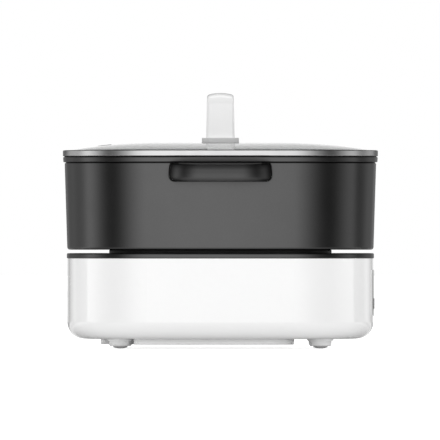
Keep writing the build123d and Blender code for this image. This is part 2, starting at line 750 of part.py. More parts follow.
def make_foot(x, y):
    waist = SHELL_BOTTOM - FOOT_FLANGE
    body = rod(FOOT_R, FOOT_BOTTOM, SHELL_BOTTOM)
    body = chamfer(edges_at(body, FOOT_BOTTOM), FOOT_CHAMFER)
    body += rod(FOOT_FLANGE_R, waist, SHELL_BOTTOM)
    body -= rod(PAD_R + SLIP / 2, FOOT_BOTTOM - PAST, foot_pocket_top())
    body -= rod(FOOT_SCREW_R + SLIP, FOOT_BOTTOM, SHELL_BOTTOM + PAST)
    return Pos(x, y, 0) * body


def make_pad(x, y):
    """Rubber plug with a domed sole that ends in a small flat."""
    top = PAD_SHOULDER + PAD_PLUG
    outline = Polyline((PAD_FLAT_R, 0), (0, 0), (0, top), (PAD_R, top), (PAD_R, PAD_SHOULDER))
    outline += SagittaArc((PAD_R, PAD_SHOULDER), (PAD_FLAT_R, 0), PAD_BULGE)
    return Pos(x, y, 0) * revolve(Plane.XZ * make_face(outline), axis=Axis.Z)


def make_foot_screws():
    head = foot_pocket_top() - HEAD_HEIGHT
    tip = SHELL_BOTTOM + FOOT_SCREW_BITE - TIP_ROOM
    return grouped(
        screw_up(head, HEAD_HEIGHT, tip, FOOT_SCREW_R, FOOT_SCREW_HEAD_R, x, y)
        for x, y in corners(FOOT_AT, FOOT_AT)
    )


# ---- bottom cover ----
def board_screw_places():
    reach_x = BOARD_X / 2 - BOARD_SCREW_IN
    reach_y = BOARD_Y / 2 - BOARD_SCREW_IN
    return [(x, BOARD_CENTRE_Y + y) for x, y in corners(reach_x, reach_y)]


def make_bottom_cover():
    body = round_block_z(
        -TRAY_HALF_X, TRAY_HALF_X, TRAY_FRONT, TRAY_BACK, TRAY_BOTTOM, SHELL_BOTTOM, TRAY_CORNER
    )
    body -= round_block_z(
        -TRAY_HALF_X + TRAY_WALL,
        TRAY_HALF_X - TRAY_WALL,
        TRAY_FRONT + TRAY_WALL,
        TRAY_BACK - TRAY_WALL,
        TRAY_FLOOR,
        SHELL_BOTTOM + PAST,
        TRAY_CORNER - TRAY_WALL,
    )
    posts = [rod(BOARD_POST_R, TRAY_FLOOR - OVERLAP, BOARD_Z, x, y) for x, y in board_screw_places()]
    posts += [rod(TRAY_BOSS_R, TRAY_FLOOR - OVERLAP, SHELL_BOTTOM, x, y) for x, y in tray_screw_places()]
    body = joined([body] + posts)
    slot = extrude(SlotOverall(VENT_LENGTH, VENT_SLOT), amount=TRAY_WALL + 2 * PAST)
    for number in range(VENT_COUNT):
        y = VENT_CENTRE_Y + (number - (VENT_COUNT - 1) / 2) * VENT_PITCH
        body -= Pos(0, y, TRAY_BOTTOM - PAST) * slot
    for x, y in board_screw_places():
        body -= rod(BOARD_SCREW_R, TRAY_FLOOR + BOARD_POST_FLOOR, BOARD_Z + PAST, x, y)
    for x, y in tray_screw_places():
        body -= rod(TRAY_SCREW_HEAD_R + SLIP, TRAY_BOTTOM - PAST, TRAY_BOTTOM + HEAD_HEIGHT, x, y)
        body -= rod(TRAY_SCREW_R + SLIP, TRAY_BOTTOM, SHELL_BOTTOM + PAST, x, y)
    return body


def make_bottom_cover_screws():
    tip = SHELL_FLOOR + TRAY_BOSS_HEIGHT - PAST - TIP_ROOM
    return grouped(
        screw_up(TRAY_BOTTOM, HEAD_HEIGHT, tip, TRAY_SCREW_R, TRAY_SCREW_HEAD_R, x, y)
        for x, y in tray_screw_places()
    )


# ---- power board ----
def on_board(size, place):
    half_x, half_y = size[0] / 2, size[1] / 2
    x, y = place
    return block(x - half_x, x + half_x, y - half_y, y + half_y, BOARD_TOP, BOARD_TOP + size[2])


def make_power_board():
    half_x, half_y = BOARD_X / 2, BOARD_Y / 2
    body = block(-half_x, half_x, BOARD_CENTRE_Y - half_y, BOARD_CENTRE_Y + half_y, BOARD_Z, BOARD_TOP)
    body += on_board(TAB, TAB_AT)
    for x, y in board_screw_places():
        body -= rod(BOARD_SCREW_R + SLIP, BOARD_Z - PAST, BOARD_TOP + PAST, x, y)
    return body


def make_board_screws():
    tip = TRAY_FLOOR + BOARD_POST_FLOOR + TIP_ROOM
    upright = [
        rod(BOARD_SCREW_HEAD_R, BOARD_TOP, BOARD_TOP + HEAD_HEIGHT, x, y)
        + rod(BOARD_SCREW_R, tip, BOARD_TOP, x, y)
        for x, y in board_screw_places()
    ]
    back = CONTROL_BOARD_Y + BOARD_THICKNESS
    front_tip = CONTROL_BOARD_Y - CONTROL_SCREW_BITE + TIP_ROOM
    level = [
        rod_y(CONTROL_SCREW_HEAD_R, back, back + HEAD_HEIGHT, x, z)
        + rod_y(CONTROL_SCREW_R, front_tip, back, x, z)
        for x, z in control_screw_places()
    ]
    return grouped(upright + level)


def make_relay():
    body = on_board(RELAY, RELAY_AT)
    return fillet(body.edges().filter_by(Axis.Z), COMPONENT_ROUND)


def make_transformer():
    """Laminated core with a wound bobbin showing on both sides."""
    core = on_board(TRANSFORMER, TRANSFORMER_AT)
    x, y = TRANSFORMER_AT
    length, width, height = TRANSFORMER
    low, high = BOARD_TOP + TRANSFORMER_YOKE, BOARD_TOP + height - TRANSFORMER_YOKE
    core -= block(x - length / 4, x + length / 4, y - width, y + width, low, high)
    half_x, half_y = length / 4 - SLIP, width / 2 + COIL_PROUD
    coil = block(x - half_x, x + half_x, y - half_y, y + half_y, low + SLIP, high - SLIP)
    return grouped([core, fillet(coil.edges().filter_by(Axis.Y), COIL_ROUND)])


def make_filter_capacitor():
    body = on_board(CAPACITOR, CAPACITOR_AT)
    return fillet(body.edges().filter_by(Axis.Z), COMPONENT_ROUND)


def make_terminal_block():
    body = on_board(TERMINAL, TERMINAL_AT)
    x, y = TERMINAL_AT
    high = BOARD_TOP + TERMINAL[2]
    for side in (-1, 1):
        screw_x = x + side * INLET_PIN_PITCH / 2
        body -= rod(TERMINAL_HOLE_R, high - TERMINAL_HOLE_DEPTH, high + PAST, screw_x, y)
    return body


# ---- control panel ----
def panel_ring():
    return ring(PANEL_OUTER_HALF, PANEL_INNER_HALF, SHELL_BOTTOM, SHELL_TOP)


def make_control_panel():
    body = panel_ring() & panel_block(SLIP, SLIP, 0)
    body -= window_block(SLIP)
    for x in key_places():
        body -= rod_y(KEY_R + FREE, -BASE_HALF - WALL_CUT, -BASE_HALF + WALL_CUT, x, KEY_Z)
    return body


def window_block(grow):
    half_x, half_z = WINDOW_X / 2 + grow, WINDOW_Z / 2 + grow
    return round_block_y(
        -half_x,
        half_x,
        -BASE_HALF - WALL_CUT,
        -BASE_HALF + WALL_CUT,
        WINDOW_CENTRE_Z - half_z,
        WINDOW_CENTRE_Z + half_z,
        WINDOW_CORNER + grow,
    )


def make_display_window():
    return window_block(0) & panel_ring()


def make_display_module():
    half_x, half_z = WINDOW_X / 2 - DISPLAY_MARGIN, WINDOW_Z / 2 - DISPLAY_MARGIN
    front = DISPLAY_BEHIND_WINDOW + wall_sag(half_x) - PANEL_INNER_HALF
    low, high = WINDOW_CENTRE_Z - half_z, WINDOW_CENTRE_Z + half_z
    body = block(-half_x, half_x, front, CONTROL_BOARD_Y, low, high)
    return chamfer(body.edges().filter_by(Axis.Y), DISPLAY_EDGE)


def key_places():
    middle = (len(KEY_NAMES) - 1) / 2
    return [(number - middle) * KEY_PITCH for number in range(len(KEY_NAMES))]


def switch_tip():
    return CONTROL_BOARD_Y - SWITCH_HEIGHT - SWITCH_BUTTON


def make_key(x):
    """Cap flush with the panel, a flange behind it and a stem towards its switch."""
    outer = PANEL_INNER_HALF - FREE
    inner = outer - KEY_FLANGE
    cap = rod_y(KEY_R, -BASE_HALF - WALL_CUT, -BASE_HALF + WALL_CUT, x, KEY_Z)
    cap &= ring(PANEL_OUTER_HALF + KEY_PROUD, inner, PANEL_BOTTOM, PANEL_TOP)
    flange = rod_y(KEY_FLANGE_R, -BASE_HALF - WALL_CUT, -BASE_HALF + WALL_CUT, x, KEY_Z)
    flange &= ring(outer, inner, PANEL_BOTTOM, PANEL_TOP)
    stem = rod_y(KEY_STEM_R, -outer + KEY_FLANGE / 2, switch_tip() - KEY_TRAVEL - FREE, x, KEY_Z)
    return cap + flange + stem


def make_key_switches():
    half = SWITCH_SIDE / 2
    front = CONTROL_BOARD_Y - SWITCH_HEIGHT
    pieces = []
    for x in key_places():
        case = block(x - half, x + half, front, CONTROL_BOARD_Y, KEY_Z - half, KEY_Z + half)
        pieces.append(case + rod_y(SWITCH_BUTTON_R, switch_tip(), front + OVERLAP, x, KEY_Z))
    return grouped(pieces)


def make_control_board():
    back = CONTROL_BOARD_Y + BOARD_THICKNESS
    half = CONTROL_BOARD_X / 2
    body = block(-half, half, CONTROL_BOARD_Y, back, CONTROL_BOARD_BOTTOM, CONTROL_BOARD_TOP)
    for x, z in control_screw_places():
        body -= rod_y(CONTROL_SCREW_R + SLIP, CONTROL_BOARD_Y - PAST, back + PAST, x, z)
    return body


# ---- power inlet ----
def inlet_block(grow, y_low, y_high):
    return round_block_y(
        -INLET_HALF_X - grow,
        INLET_HALF_X + grow,
        y_low,
        y_high,
        INLET_BOTTOM - grow,
        INLET_TOP + grow,
        INLET_CORNER + grow,
    )


def inlet_pin_places():
    return [-INLET_PIN_PITCH, 0.0, INLET_PIN_PITCH]


def well_floor():
    return BASE_HALF - INLET_WELL


def make_power_inlet():
    inner_end = BASE_HALF - INLET_DEPTH
    body = inlet_block(0, inner_end, BASE_HALF + WALL_CUT) & prism(BASE_HALF, SHELL_BOTTOM, SHELL_TOP)
    ear = inlet_ear_front()
    ear_back = ear - INLET_EAR_THICKNESS
    reach = INLET_HALF_X + INLET_EAR
    low, high = INLET_BOTTOM - INLET_EAR_MARGIN, INLET_TOP + INLET_EAR_MARGIN
    body += round_block_y(-reach, reach, ear_back, ear, low, high, INLET_CORNER)
    body -= round_block_y(
        -INLET_HALF_X + INLET_WALL,
        INLET_HALF_X - INLET_WALL,
        well_floor(),
        BASE_HALF + PAST,
        INLET_BOTTOM + INLET_WALL,
        INLET_TOP - INLET_WALL,
        INLET_CORNER,
    )
    for x in inlet_pin_places():
        body -= rod_y(INLET_PIN_R, inner_end - PAST, BASE_HALF, x, INLET_Z)
    for x, z in inlet_screw_places():
        body -= rod_y(INLET_SCREW_R + SLIP, ear_back - PAST, ear + PAST, x, z)
    return body


def make_inlet_pins():
    tail = BASE_HALF - INLET_DEPTH - INLET_TAIL
    pins = [rod_y(INLET_PIN_R, tail, well_floor() + INLET_PIN_REACH, x, INLET_Z) for x in inlet_pin_places()]
    return grouped(fillet(pin.edges().sort_by(Axis.Y)[-1], INLET_PIN_R / 2) for pin in pins)


def make_inlet_screws():
    seat = inlet_ear_front() - INLET_EAR_THICKNESS
    tip = inlet_ear_front() + INLET_SCREW_BITE - TIP_ROOM
    pieces = []
    for x, z in inlet_screw_places():
        head = rod_y(INLET_SCREW_HEAD_R, seat - HEAD_HEIGHT, seat, x, z)
        pieces.append(head + rod_y(INLET_SCREW_R, seat, tip, x, z))
    return grouped(pieces)


# ---- leads ----
def make_mains_leads():
    """From the inlet's outer tails to the terminal block, dropping in the middle third."""
    start_y = BASE_HALF - INLET_DEPTH - INLET_TAIL
    end_y = TERMINAL_AT[1] + TERMINAL[1] / 2
    end_z = BOARD_TOP + TERMINAL[2] / 2
    third = (start_y - end_y) / 3
    levels = (INLET_Z, INLET_Z, end_z, end_z)
    leads = []
    for x in (-INLET_PIN_PITCH, INLET_PIN_PITCH):
        points = [(x, start_y - number * third, level) for number, level in enumerate(levels)]
        leads.append(swept_lead(points, MAINS_LEAD_R))
    return grouped(leads)


def make_heater_leads():
    """From the element's two pins down to the relay and the tab, crossing level at half height."""
    top = ELEMENT_Z - ELEMENT_LEG - ELEMENT_PIN_LENGTH
    start_y = element_end_y()
    leads = []
    for start_x, (x, y), height in (
        (ELEMENT_GAP_HALF, RELAY_AT, RELAY[2]),
        (-ELEMENT_GAP_HALF, TAB_AT, TAB[2]),
    ):
        end = BOARD_TOP + height
        middle = (top + end) / 2
        points = [(start_x, start_y, top), (start_x, start_y, middle), (x, y, middle), (x, y, end)]
        leads.append(swept_lead(points, HEATER_LEAD_R))
    return grouped(leads)


def make_sensor_lead():
    """From just under the sensor cap's lowest place, through its holder and across to the board."""
    top = SENSOR_TOP - SENSOR_WALL - SENSOR_TRAVEL - FREE
    middle = (SHIELD_FLOOR + BOARD_TOP) / 2
    x, y = SENSOR_SOCKET
    points = [(0, 0, top), (0, 0, middle), (x, y, middle), (x, y, BOARD_TOP)]
    return swept_lead(points, SENSOR_LEAD_R)


def make_signal_ribbon():
    """Flat ribbon from the power board's front edge to the back of the control board."""
    start_y = BOARD_CENTRE_Y - BOARD_Y / 2 + RIBBON_IN
    level = BOARD_TOP + RIBBON_RISE
    end_y = CONTROL_BOARD_Y + BOARD_THICKNESS
    end_z = (CONTROL_BOARD_BOTTOM + CONTROL_BOARD_TOP) / 2
    points = [
        (0, start_y, BOARD_TOP),
        (0, start_y, level),
        (0, end_y + RIBBON_STAND, level),
        (0, end_y + RIBBON_STAND, end_z),
        (0, end_y, end_z),
    ]
    path = FilletPolyline(*points, radius=RIBBON_BEND)
    start = Plane(origin=path @ 0, x_dir=(1, 0, 0), z_dir=path % 0)
    return sweep(start * Rectangle(RIBBON_WIDTH, RIBBON_THICKNESS), path=path)


# ---- pot ----
def pot_half(height):
    """Half width of the pot's outer wall at a height."""
    share = (height - POT_BOTTOM) / (POT_TOP - POT_BOTTOM)
    return POT_BOTTOM_HALF + share * (POT_TOP_HALF - POT_BOTTOM_HALF)


def pot_outside():
    body = flared(POT_BOTTOM_HALF, POT_TOP_HALF, POT_BOTTOM, POT_TOP)
    return fillet(edges_at(body, POT_BOTTOM), POT_EDGE)


def grip_arm_y():
    """Y of the middle of each arm of a pot handle."""
    return (GRIP_LENGTH - GRIP_BAR) / 2


def lug_bottom():
    return GRIP_TOP - (GRIP_HEIGHT + LUG_HEIGHT) / 2 - GRIP_DROOP / 4


def lug_block(side, y, grow):
    """Block cast on the pot's wall, which the root of a handle slips over."""
    reach = pot_half(GRIP_TOP) + LUG_REACH + grow
    x_low, x_high = sorted((side * (POT_MOUTH_HALF + PAST), side * reach))
    half = LUG_WIDTH / 2 + grow
    return block(x_low, x_high, y - half, y + half, lug_bottom() - grow, lug_bottom() + LUG_HEIGHT + grow)


def lug_screw_place(side, y):
    return side * (pot_half(GRIP_TOP) + LUG_REACH / 2 + LUG_SCREW_SHIFT), y


def make_pot():
    body = pot_outside()
    body += prism(RIM_HALF, POT_TOP - RIM_HEIGHT, POT_TOP)
    for side in (-1, 1):
        for y in (-grip_arm_y(), grip_arm_y()):
            body += lug_block(side, y, 0)
    floor = POT_BOTTOM + POT_FLOOR
    hollow = flared(pot_half(floor) - POT_WALL, POT_MOUTH_HALF, floor, POT_TOP)
    hollow = fillet(edges_at(hollow, floor), POT_INNER_EDGE)
    body -= hollow
    for side in (-1, 1):
        for y in (-grip_arm_y(), grip_arm_y()):
            x, place = lug_screw_place(side, y)
            body -= rod(LUG_SCREW_R, lug_bottom() - PAST, lug_bottom() + LUG_SCREW_BITE, x, place)
    return body


def make_pot_handle(side):
    """D loop swept in plan from wall to wall, drooping outwards, on a root that follows the pot."""
    wall = pot_half(GRIP_TOP)
    middle = GRIP_TOP - GRIP_HEIGHT / 2
    arm_y = grip_arm_y()
    far = GRIP_REACH - GRIP_BAR / 2
    path = FilletPolyline(
        (POT_MOUTH_HALF, -arm_y, middle),
        (far, -arm_y, middle - GRIP_DROOP),
        (far, arm_y, middle - GRIP_DROOP),
        (POT_MOUTH_HALF, arm_y, middle),
        radius=GRIP_CORNER - GRIP_BAR / 2,
    )
    start = Plane(origin=path @ 0, x_dir=(0, 1, 0), z_dir=path % 0)
    body = sweep(start * RectangleRounded(GRIP_BAR, GRIP_HEIGHT, GRIP_ROUND), path=path)
    root = block(
        POT_MOUTH_HALF,
        wall + GRIP_ROOT,
        -arm_y,
        arm_y,
        middle - GRIP_HEIGHT / 2 + GRIP_ROOT_STEP,
        middle + GRIP_HEIGHT / 2 - GRIP_ROOT_STEP,
    )
    body += fillet(root.edges().filter_by(Axis.Y).sort_by(Axis.X)[-2:], GRIP_ROOT_ROUND)
    body -= flared(POT_BOTTOM_HALF, POT_TOP_HALF, POT_BOTTOM, POT_TOP)
    bottom = GRIP_TOP - GRIP_HEIGHT
    for y in (-arm_y, arm_y):
        body -= lug_block(1, y, SLIP / 2)
        x, place = lug_screw_place(1, y)
        body -= rod(LUG_SCREW_R + SLIP, bottom - GRIP_HEIGHT, lug_bottom(), x, place)
        body -= rod(LUG_SCREW_HEAD_R + SLIP, bottom - GRIP_HEIGHT, bottom + HEAD_HEIGHT, x, place)
    if side < 0:
        body = mirror(body, about=Plane.YZ)
    return body


def make_pot_handle_screws():
    bottom = GRIP_TOP - GRIP_HEIGHT
    tip = lug_bottom() + LUG_SCREW_BITE - TIP_ROOM
    places = [lug_screw_place(side, y) for side in (-1, 1) for y in (-grip_arm_y(), grip_arm_y())]
    return grouped(screw_up(bottom, HEAD_HEIGHT, tip, LUG_SCREW_R, LUG_SCREW_HEAD_R, x, y) for x, y in places)


# ---- lid ----
def dome_height(share):
    """Height of the glass over the rim's inner edge, share of the way out from the middle."""
    return DOME_BASE + (DOME_TOP - DOME_BASE) * (1 - share**DOME_POWER)


def dome(drop):
    """Cushion-shaped cap: the rim's opening, shrunk towards the middle as it rises."""
    shares = (1.0, 0.94, 0.86, 0.75, 0.6, 0.42, 0.2)
    whole = SIDE_RADIUS + LID_OPENING_HALF - BASE_HALF
    corner = CORNER_RADIUS + LID_OPENING_HALF - BASE_HALF
    faces = [
        Pos(0, 0, dome_height(share) - drop)
        * bowed_square(share * LID_OPENING_HALF, share * whole, share * corner)
        for share in shares
    ]
    return loft(faces)


def glass_outside():
    flange = prism(GLASS_HALF, DOME_BASE - GLASS_THICKNESS, DOME_BASE)
    return flange + dome(0)


def vent_frame():
    """Place and tilt of the steam vent, square to the glass."""
    share = VENT_Y / LID_OPENING_HALF
    slope = (DOME_TOP - DOME_BASE) * DOME_POWER * share ** (DOME_POWER - 1) / LID_OPENING_HALF
    return Pos(0, VENT_Y, dome_height(share)) * Rotation(-math.degrees(math.atan(slope)), 0, 0)


def make_lid_glass():
    body = glass_outside() - dome(GLASS_THICKNESS)
    body -= vent_frame() * rod(VENT_NECK_R + SLIP, -3 * GLASS_THICKNESS, GLASS_THICKNESS)
    for x in (-HANDLE_BOLT_AT, HANDLE_BOLT_AT):
        body -= rod(HANDLE_BOLT_R + SLIP, POT_TOP, COLLAR_TOP, x)
    return body


def make_lid_rim():
    body = prism(LID_HALF, LID_RIM_BOTTOM, LID_RIM_TOP)
    body = fillet(edges_at(body, LID_RIM_TOP), LID_RIM_ROUND)
    body -= prism(LID_HALF - LID_SHEET, LID_RIM_BOTTOM + LID_SHEET, LID_RIM_TOP - LID_SHEET)
    body -= prism(LID_OPENING_HALF, LID_RIM_TOP - 2 * LID_SHEET, LID_RIM_TOP + PAST)
    return body - prism(LID_LEAF_HALF, LID_RIM_BOTTOM - PAST, LID_RIM_BOTTOM + 2 * LID_SHEET)


def make_lid_seal():
    skirt = POT_MOUTH_HALF - SEAL_GAP
    body = ring(SEAL_HALF, skirt - SEAL_WALL, POT_TOP, LID_RIM_BOTTOM)
    return body + ring(skirt, skirt - SEAL_WALL, POT_TOP - SEAL_DEPTH, POT_TOP + OVERLAP)


def make_steam_vent():
    under = GLASS_THICKNESS + SLIP
    body = rod(VENT_HEAD_R, 0, VENT_HEAD)
    body = fillet(edges_at(body, VENT_HEAD), VENT_HEAD / 2)
    body += rod(VENT_NECK_R, -under - VENT_TAIL, OVERLAP)
    body -= rod(VENT_HOLE_R, -under - VENT_TAIL - PAST, VENT_HEAD + PAST)
    return vent_frame() * body


def collar_prism(margin, low, high):
    half_x = LOOP_LENGTH / 2 + margin
    half_y = LOOP_FOOT_WIDTH / 2 + margin
    return round_block_z(-half_x, half_x, -half_y, half_y, low, high, half_y - COLLAR_END_FLAT)


def make_handle_collar():
    body = collar_prism(COLLAR_MARGIN, COLLAR_TOP - COLLAR_DEPTH, COLLAR_TOP)
    body = fillet(edges_at(body, COLLAR_TOP), COLLAR_ROUND)
    body -= glass_outside()
    for x in (-HANDLE_BOLT_AT, HANDLE_BOLT_AT):
        body -= rod(HANDLE_BOLT_R + SLIP, DOME_BASE, COLLAR_TOP + PAST, x)
    return body


def make_lid_handle():
    """Strap loop standing in the XZ plane, narrowing upwards."""
    half = LOOP_LENGTH / 2
    wedge = Polyline(
        (-LOOP_FOOT_WIDTH / 2, COLLAR_TOP),
        (LOOP_FOOT_WIDTH / 2, COLLAR_TOP),
        (LOOP_TOP_WIDTH / 2, HANDLE_TOP),
        (-LOOP_TOP_WIDTH / 2, HANDLE_TOP),
        close=True,
    )
    body = extrude(Plane.YZ * make_face(wedge), amount=half, both=True)
    top_edges = body.edges().filter_by(Axis.Y).sort_by(Axis.Z)[-2:]
    body = fillet(top_edges, LOOP_CORNER)
    outer = body.edges().filter_by(lambda edge: edge.bounding_box().max.Z > COLLAR_TOP + PAST)
    body = fillet(outer, LOOP_ROUND)
    gap = round_block_y(
        -half + LOOP_LEG,
        half - LOOP_LEG,
        -LOOP_FOOT_WIDTH,
        LOOP_FOOT_WIDTH,
        COLLAR_TOP + LOOP_SOLE,
        HANDLE_TOP - LOOP_BRIDGE,
        LOOP_GAP_CORNER,
    )
    body -= gap
    inner = body.edges().filter_by(
        lambda edge: edge.bounding_box().max.X < half - LOOP_LEG + OVERLAP
        and edge.bounding_box().min.X > LOOP_LEG - OVERLAP - half
        and edge.bounding_box().min.Z > COLLAR_TOP + PAST
        and edge.bounding_box().max.Z < HANDLE_TOP - LOOP_BRIDGE + OVERLAP
        and edge.bounding_box().size.Y < LOOP_FOOT_WIDTH / 2
    )
    body = fillet(inner, LOOP_GAP_ROUND)
    for x in (-HANDLE_BOLT_AT, HANDLE_BOLT_AT):
        body -= rod(HANDLE_BOLT_R, COLLAR_TOP - PAST, COLLAR_TOP + HANDLE_BOLT_BITE, x)
    return body


def washer_top():
    """The glass's underside where the handle's bolts pass."""
    return dome_height(HANDLE_BOLT_AT / LID_OPENING_HALF) - GLASS_THICKNESS


def make_handle_washers():
    pieces = []
    for x in (-HANDLE_BOLT_AT, HANDLE_BOLT_AT):
        disc = rod(WASHER_R, washer_top() - WASHER, washer_top() + OVERLAP, x) & dome(GLASS_THICKNESS)
        pieces.append(disc - rod(HANDLE_BOLT_R + SLIP, POT_TOP, COLLAR_TOP, x))
    return grouped(pieces)


def make_handle_bolts():
    seat = washer_top() - WASHER
    tip = COLLAR_TOP + HANDLE_BOLT_BITE - TIP_ROOM
    return grouped(
        screw_up(seat - HANDLE_BOLT_HEAD, HANDLE_BOLT_HEAD, tip, HANDLE_BOLT_R, HANDLE_BOLT_HEAD_R, x, 0)
        for x in (-HANDLE_BOLT_AT, HANDLE_BOLT_AT)
    )


# ---- all nodes ----
def all_nodes():
    nodes = {
        "base_shell": make_base_shell(),
        "top_cover": make_top_cover(),
        "heating_plate": make_heating_plate(),
        "plate_gasket": make_plate_gasket(),
        "heating_element": make_heating_element(),
        "heat_shield": make_heat_shield(),
        "plate_bolts": make_plate_bolts(),
        "shield_screws": make_shield_screws(),
        "sensor_holder": make_sensor_holder(),
        "sensor_cap": make_sensor_cap(),
        "sensor_spring": make_sensor_spring(),
        "thermal_fuse": make_thermal_fuse(),
        "fuse_clip": make_fuse_clip(),
        "shell_screws": make_shell_screws(),
        "foot_screws": make_foot_screws(),
        "bottom_cover": make_bottom_cover(),
        "bottom_cover_screws": make_bottom_cover_screws(),
        "power_board": make_power_board(),
        "board_screws": make_board_screws(),
        "relay": make_relay(),
        "transformer": make_transformer(),
        "filter_capacitor": make_filter_capacitor(),
        "terminal_block": make_terminal_block(),
        "control_panel": make_control_panel(),
        "display_window": make_display_window(),
        "display_module": make_display_module(),
        "control_board": make_control_board(),
        "key_switches": make_key_switches(),
        "power_inlet": make_power_inlet(),
        "inlet_pins": make_inlet_pins(),
        "inlet_screws": make_inlet_screws(),
        "mains_leads": make_mains_leads(),
        "heater_leads": make_heater_leads(),
        "sensor_lead": make_sensor_lead(),
        "signal_ribbon": make_signal_ribbon(),
        "pot": make_pot(),
        "pot_handle_right": make_pot_handle(1),
        "pot_handle_left": make_pot_handle(-1),
        "pot_handle_screws": make_pot_handle_screws(),
        "lid_glass": make_lid_glass(),
        "lid_rim": make_lid_rim(),
        "lid_seal": make_lid_seal(),
        "steam_vent": make_steam_vent(),
        "handle_collar": make_handle_collar(),
        "lid_handle": make_lid_handle(),
        "handle_washers": make_handle_washers(),
        "handle_bolts": make_handle_bolts(),
    }
    for name, x in zip(KEY_NAMES, key_places()):
        nodes[name] = make_key(x)
    sides = ("left", "right", "left", "right")
    ends = ("front", "front", "back", "back")
    for side, end, (x, y) in zip(sides, ends, corners(FOOT_AT, FOOT_AT)):
        nodes[f"foot_{end}_{side}"] = make_foot(x, y)
        nodes[f"pad_{end}_{side}"] = make_pad(x, y)
    return nodes


os.makedirs("parts", exist_ok=True)
for node_name, node_shape in all_nodes().items():
    export_step(node_shape, f"parts/{node_name}.step")
    print(node_name, len(node_shape.solids()), round(node_shape.volume))
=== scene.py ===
"""Looks of an electric hot pot: white heated base, dark cast pot, glass lid with an upright handle.

Lengths are in metres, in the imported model's own frame: +Z up, the control panel faces -Y and the pot's
handles lie on the X axis. Shapes are grids worked out with numpy. Most of them are a profile carried round
the plan shape that base, pot and lid share: a square with bowed sides and round corners.
"""

import json
import math

import bmesh
import bpy
import numpy as np
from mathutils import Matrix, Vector


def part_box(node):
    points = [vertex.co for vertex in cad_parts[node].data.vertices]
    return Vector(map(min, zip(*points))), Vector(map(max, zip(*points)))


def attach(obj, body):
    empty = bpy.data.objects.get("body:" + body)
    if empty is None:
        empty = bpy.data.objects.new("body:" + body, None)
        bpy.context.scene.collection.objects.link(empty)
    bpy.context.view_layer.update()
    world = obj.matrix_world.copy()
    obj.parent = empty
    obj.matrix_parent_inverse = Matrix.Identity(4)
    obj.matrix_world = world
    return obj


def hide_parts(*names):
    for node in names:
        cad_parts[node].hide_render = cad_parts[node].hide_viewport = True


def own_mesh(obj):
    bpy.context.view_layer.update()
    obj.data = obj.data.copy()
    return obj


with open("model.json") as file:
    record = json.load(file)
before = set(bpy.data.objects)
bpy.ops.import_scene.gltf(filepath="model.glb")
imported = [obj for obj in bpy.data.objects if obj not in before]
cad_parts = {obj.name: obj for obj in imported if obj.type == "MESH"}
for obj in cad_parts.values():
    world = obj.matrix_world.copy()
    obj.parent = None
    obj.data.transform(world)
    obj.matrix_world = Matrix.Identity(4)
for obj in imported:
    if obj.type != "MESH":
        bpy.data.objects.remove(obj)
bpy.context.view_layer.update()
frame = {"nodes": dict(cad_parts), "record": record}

MM = 0.001

# ---- plan shape, at the base shell's wall ----
SIDE_RADIUS = 1000 * MM
CORNER_RADIUS = 80 * MM
SIDE_STEPS = 22
CORNER_STEPS = 38
CORE_HALF = 86 * MM  # inside this, level faces shrink evenly to the middle

# ---- places read from the frame ----
SHELL_LOW, SHELL_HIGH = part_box("base_shell")
BASE_HALF = SHELL_HIGH.x
COVER_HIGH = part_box("top_cover")[1]
PLATE_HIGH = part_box("heating_plate")[1]
POT_LOW, POT_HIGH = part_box("pot")
RIM_LOW, RIM_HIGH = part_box("lid_rim")
GLASS_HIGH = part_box("lid_glass")[1]
SEAL_LOW, SEAL_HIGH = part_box("lid_seal")
COLLAR_LOW, COLLAR_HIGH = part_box("handle_collar")
HANDLE_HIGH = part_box("lid_handle")[1]
GRIP_LOW, GRIP_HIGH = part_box("pot_handle_right")
PANEL_LOW, PANEL_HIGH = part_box("control_panel")
TRAY_LOW, TRAY_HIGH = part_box("bottom_cover")

# ---- pot ----
POT_BOTTOM_HALF = 145.8 * MM
POT_TOP_HALF = 148.5 * MM
POT_WALL = 3.0 * MM
POT_FLOOR = 5.0 * MM
BAND_HALF = POT_HIGH.y + 0.6 * MM
BAND_HEIGHT = 5.0 * MM
BAND_LEAN = 0.4 * MM
GROOVE_HEIGHT = 1.3 * MM
GROOVE_DEPTH = 1.5 * MM

# ---- side handles ----
GRIP_BAR = 12.5 * MM
GRIP_CORNER = 30.0 * MM
GRIP_BOW = 0.6 * MM
GRIP_BOW_ROUND = 300 * MM
GRIP_DROOP = 1.3 * MM  # how far the top comes down from the wall to the bar
GRIP_LET_IN = 1.5 * MM  # how far arms and root reach into the pot's wall
GRIP_ROOT = 4.0 * MM
GRIP_ROOT_MARGIN = 1.6 * MM
GRIP_ROOT_STEPS = 15
GRIP_INNER_ROUND = 4.5 * MM
# the bar's outer face: how far it lies in from its fullest line, and heights about the bar's middle
GRIP_UNDER_IN = 0.5 * MM
GRIP_FULLEST = -1.0 * MM
GRIP_SHOULDER_IN = 0.35 * MM
GRIP_SHOULDER = 4.6 * MM
GRIP_TOP_IN = 1.5 * MM

# ---- lid handle ----
LOOP_FOOT_WIDTH = 27.1 * MM
LOOP_TOP_WIDTH = 25.2 * MM
LOOP_LEG = 9.5 * MM
LOOP_SOLE = 9.0 * MM
LOOP_FOOT_CORNER = 1.2 * MM
LOOP_CORNER = 11.0 * MM
LOOP_GAP_CORNER = 8.0 * MM
LOOP_STEPS = 14
LOOP_CROWN = 1.8 * MM
LOOP_CROWN_START = 0.55  # share of the height above which the crown grows
LOOP_RUN = 1.5 * MM  # longest flat run of the strap's section
LOOP_SINK = 3.0 * MM  # how far the handle is let into its collar
COLLAR_SINK = 0.9 * MM
COLLAR_CORNER = 12.0 * MM
COLLAR_STEPS = 20

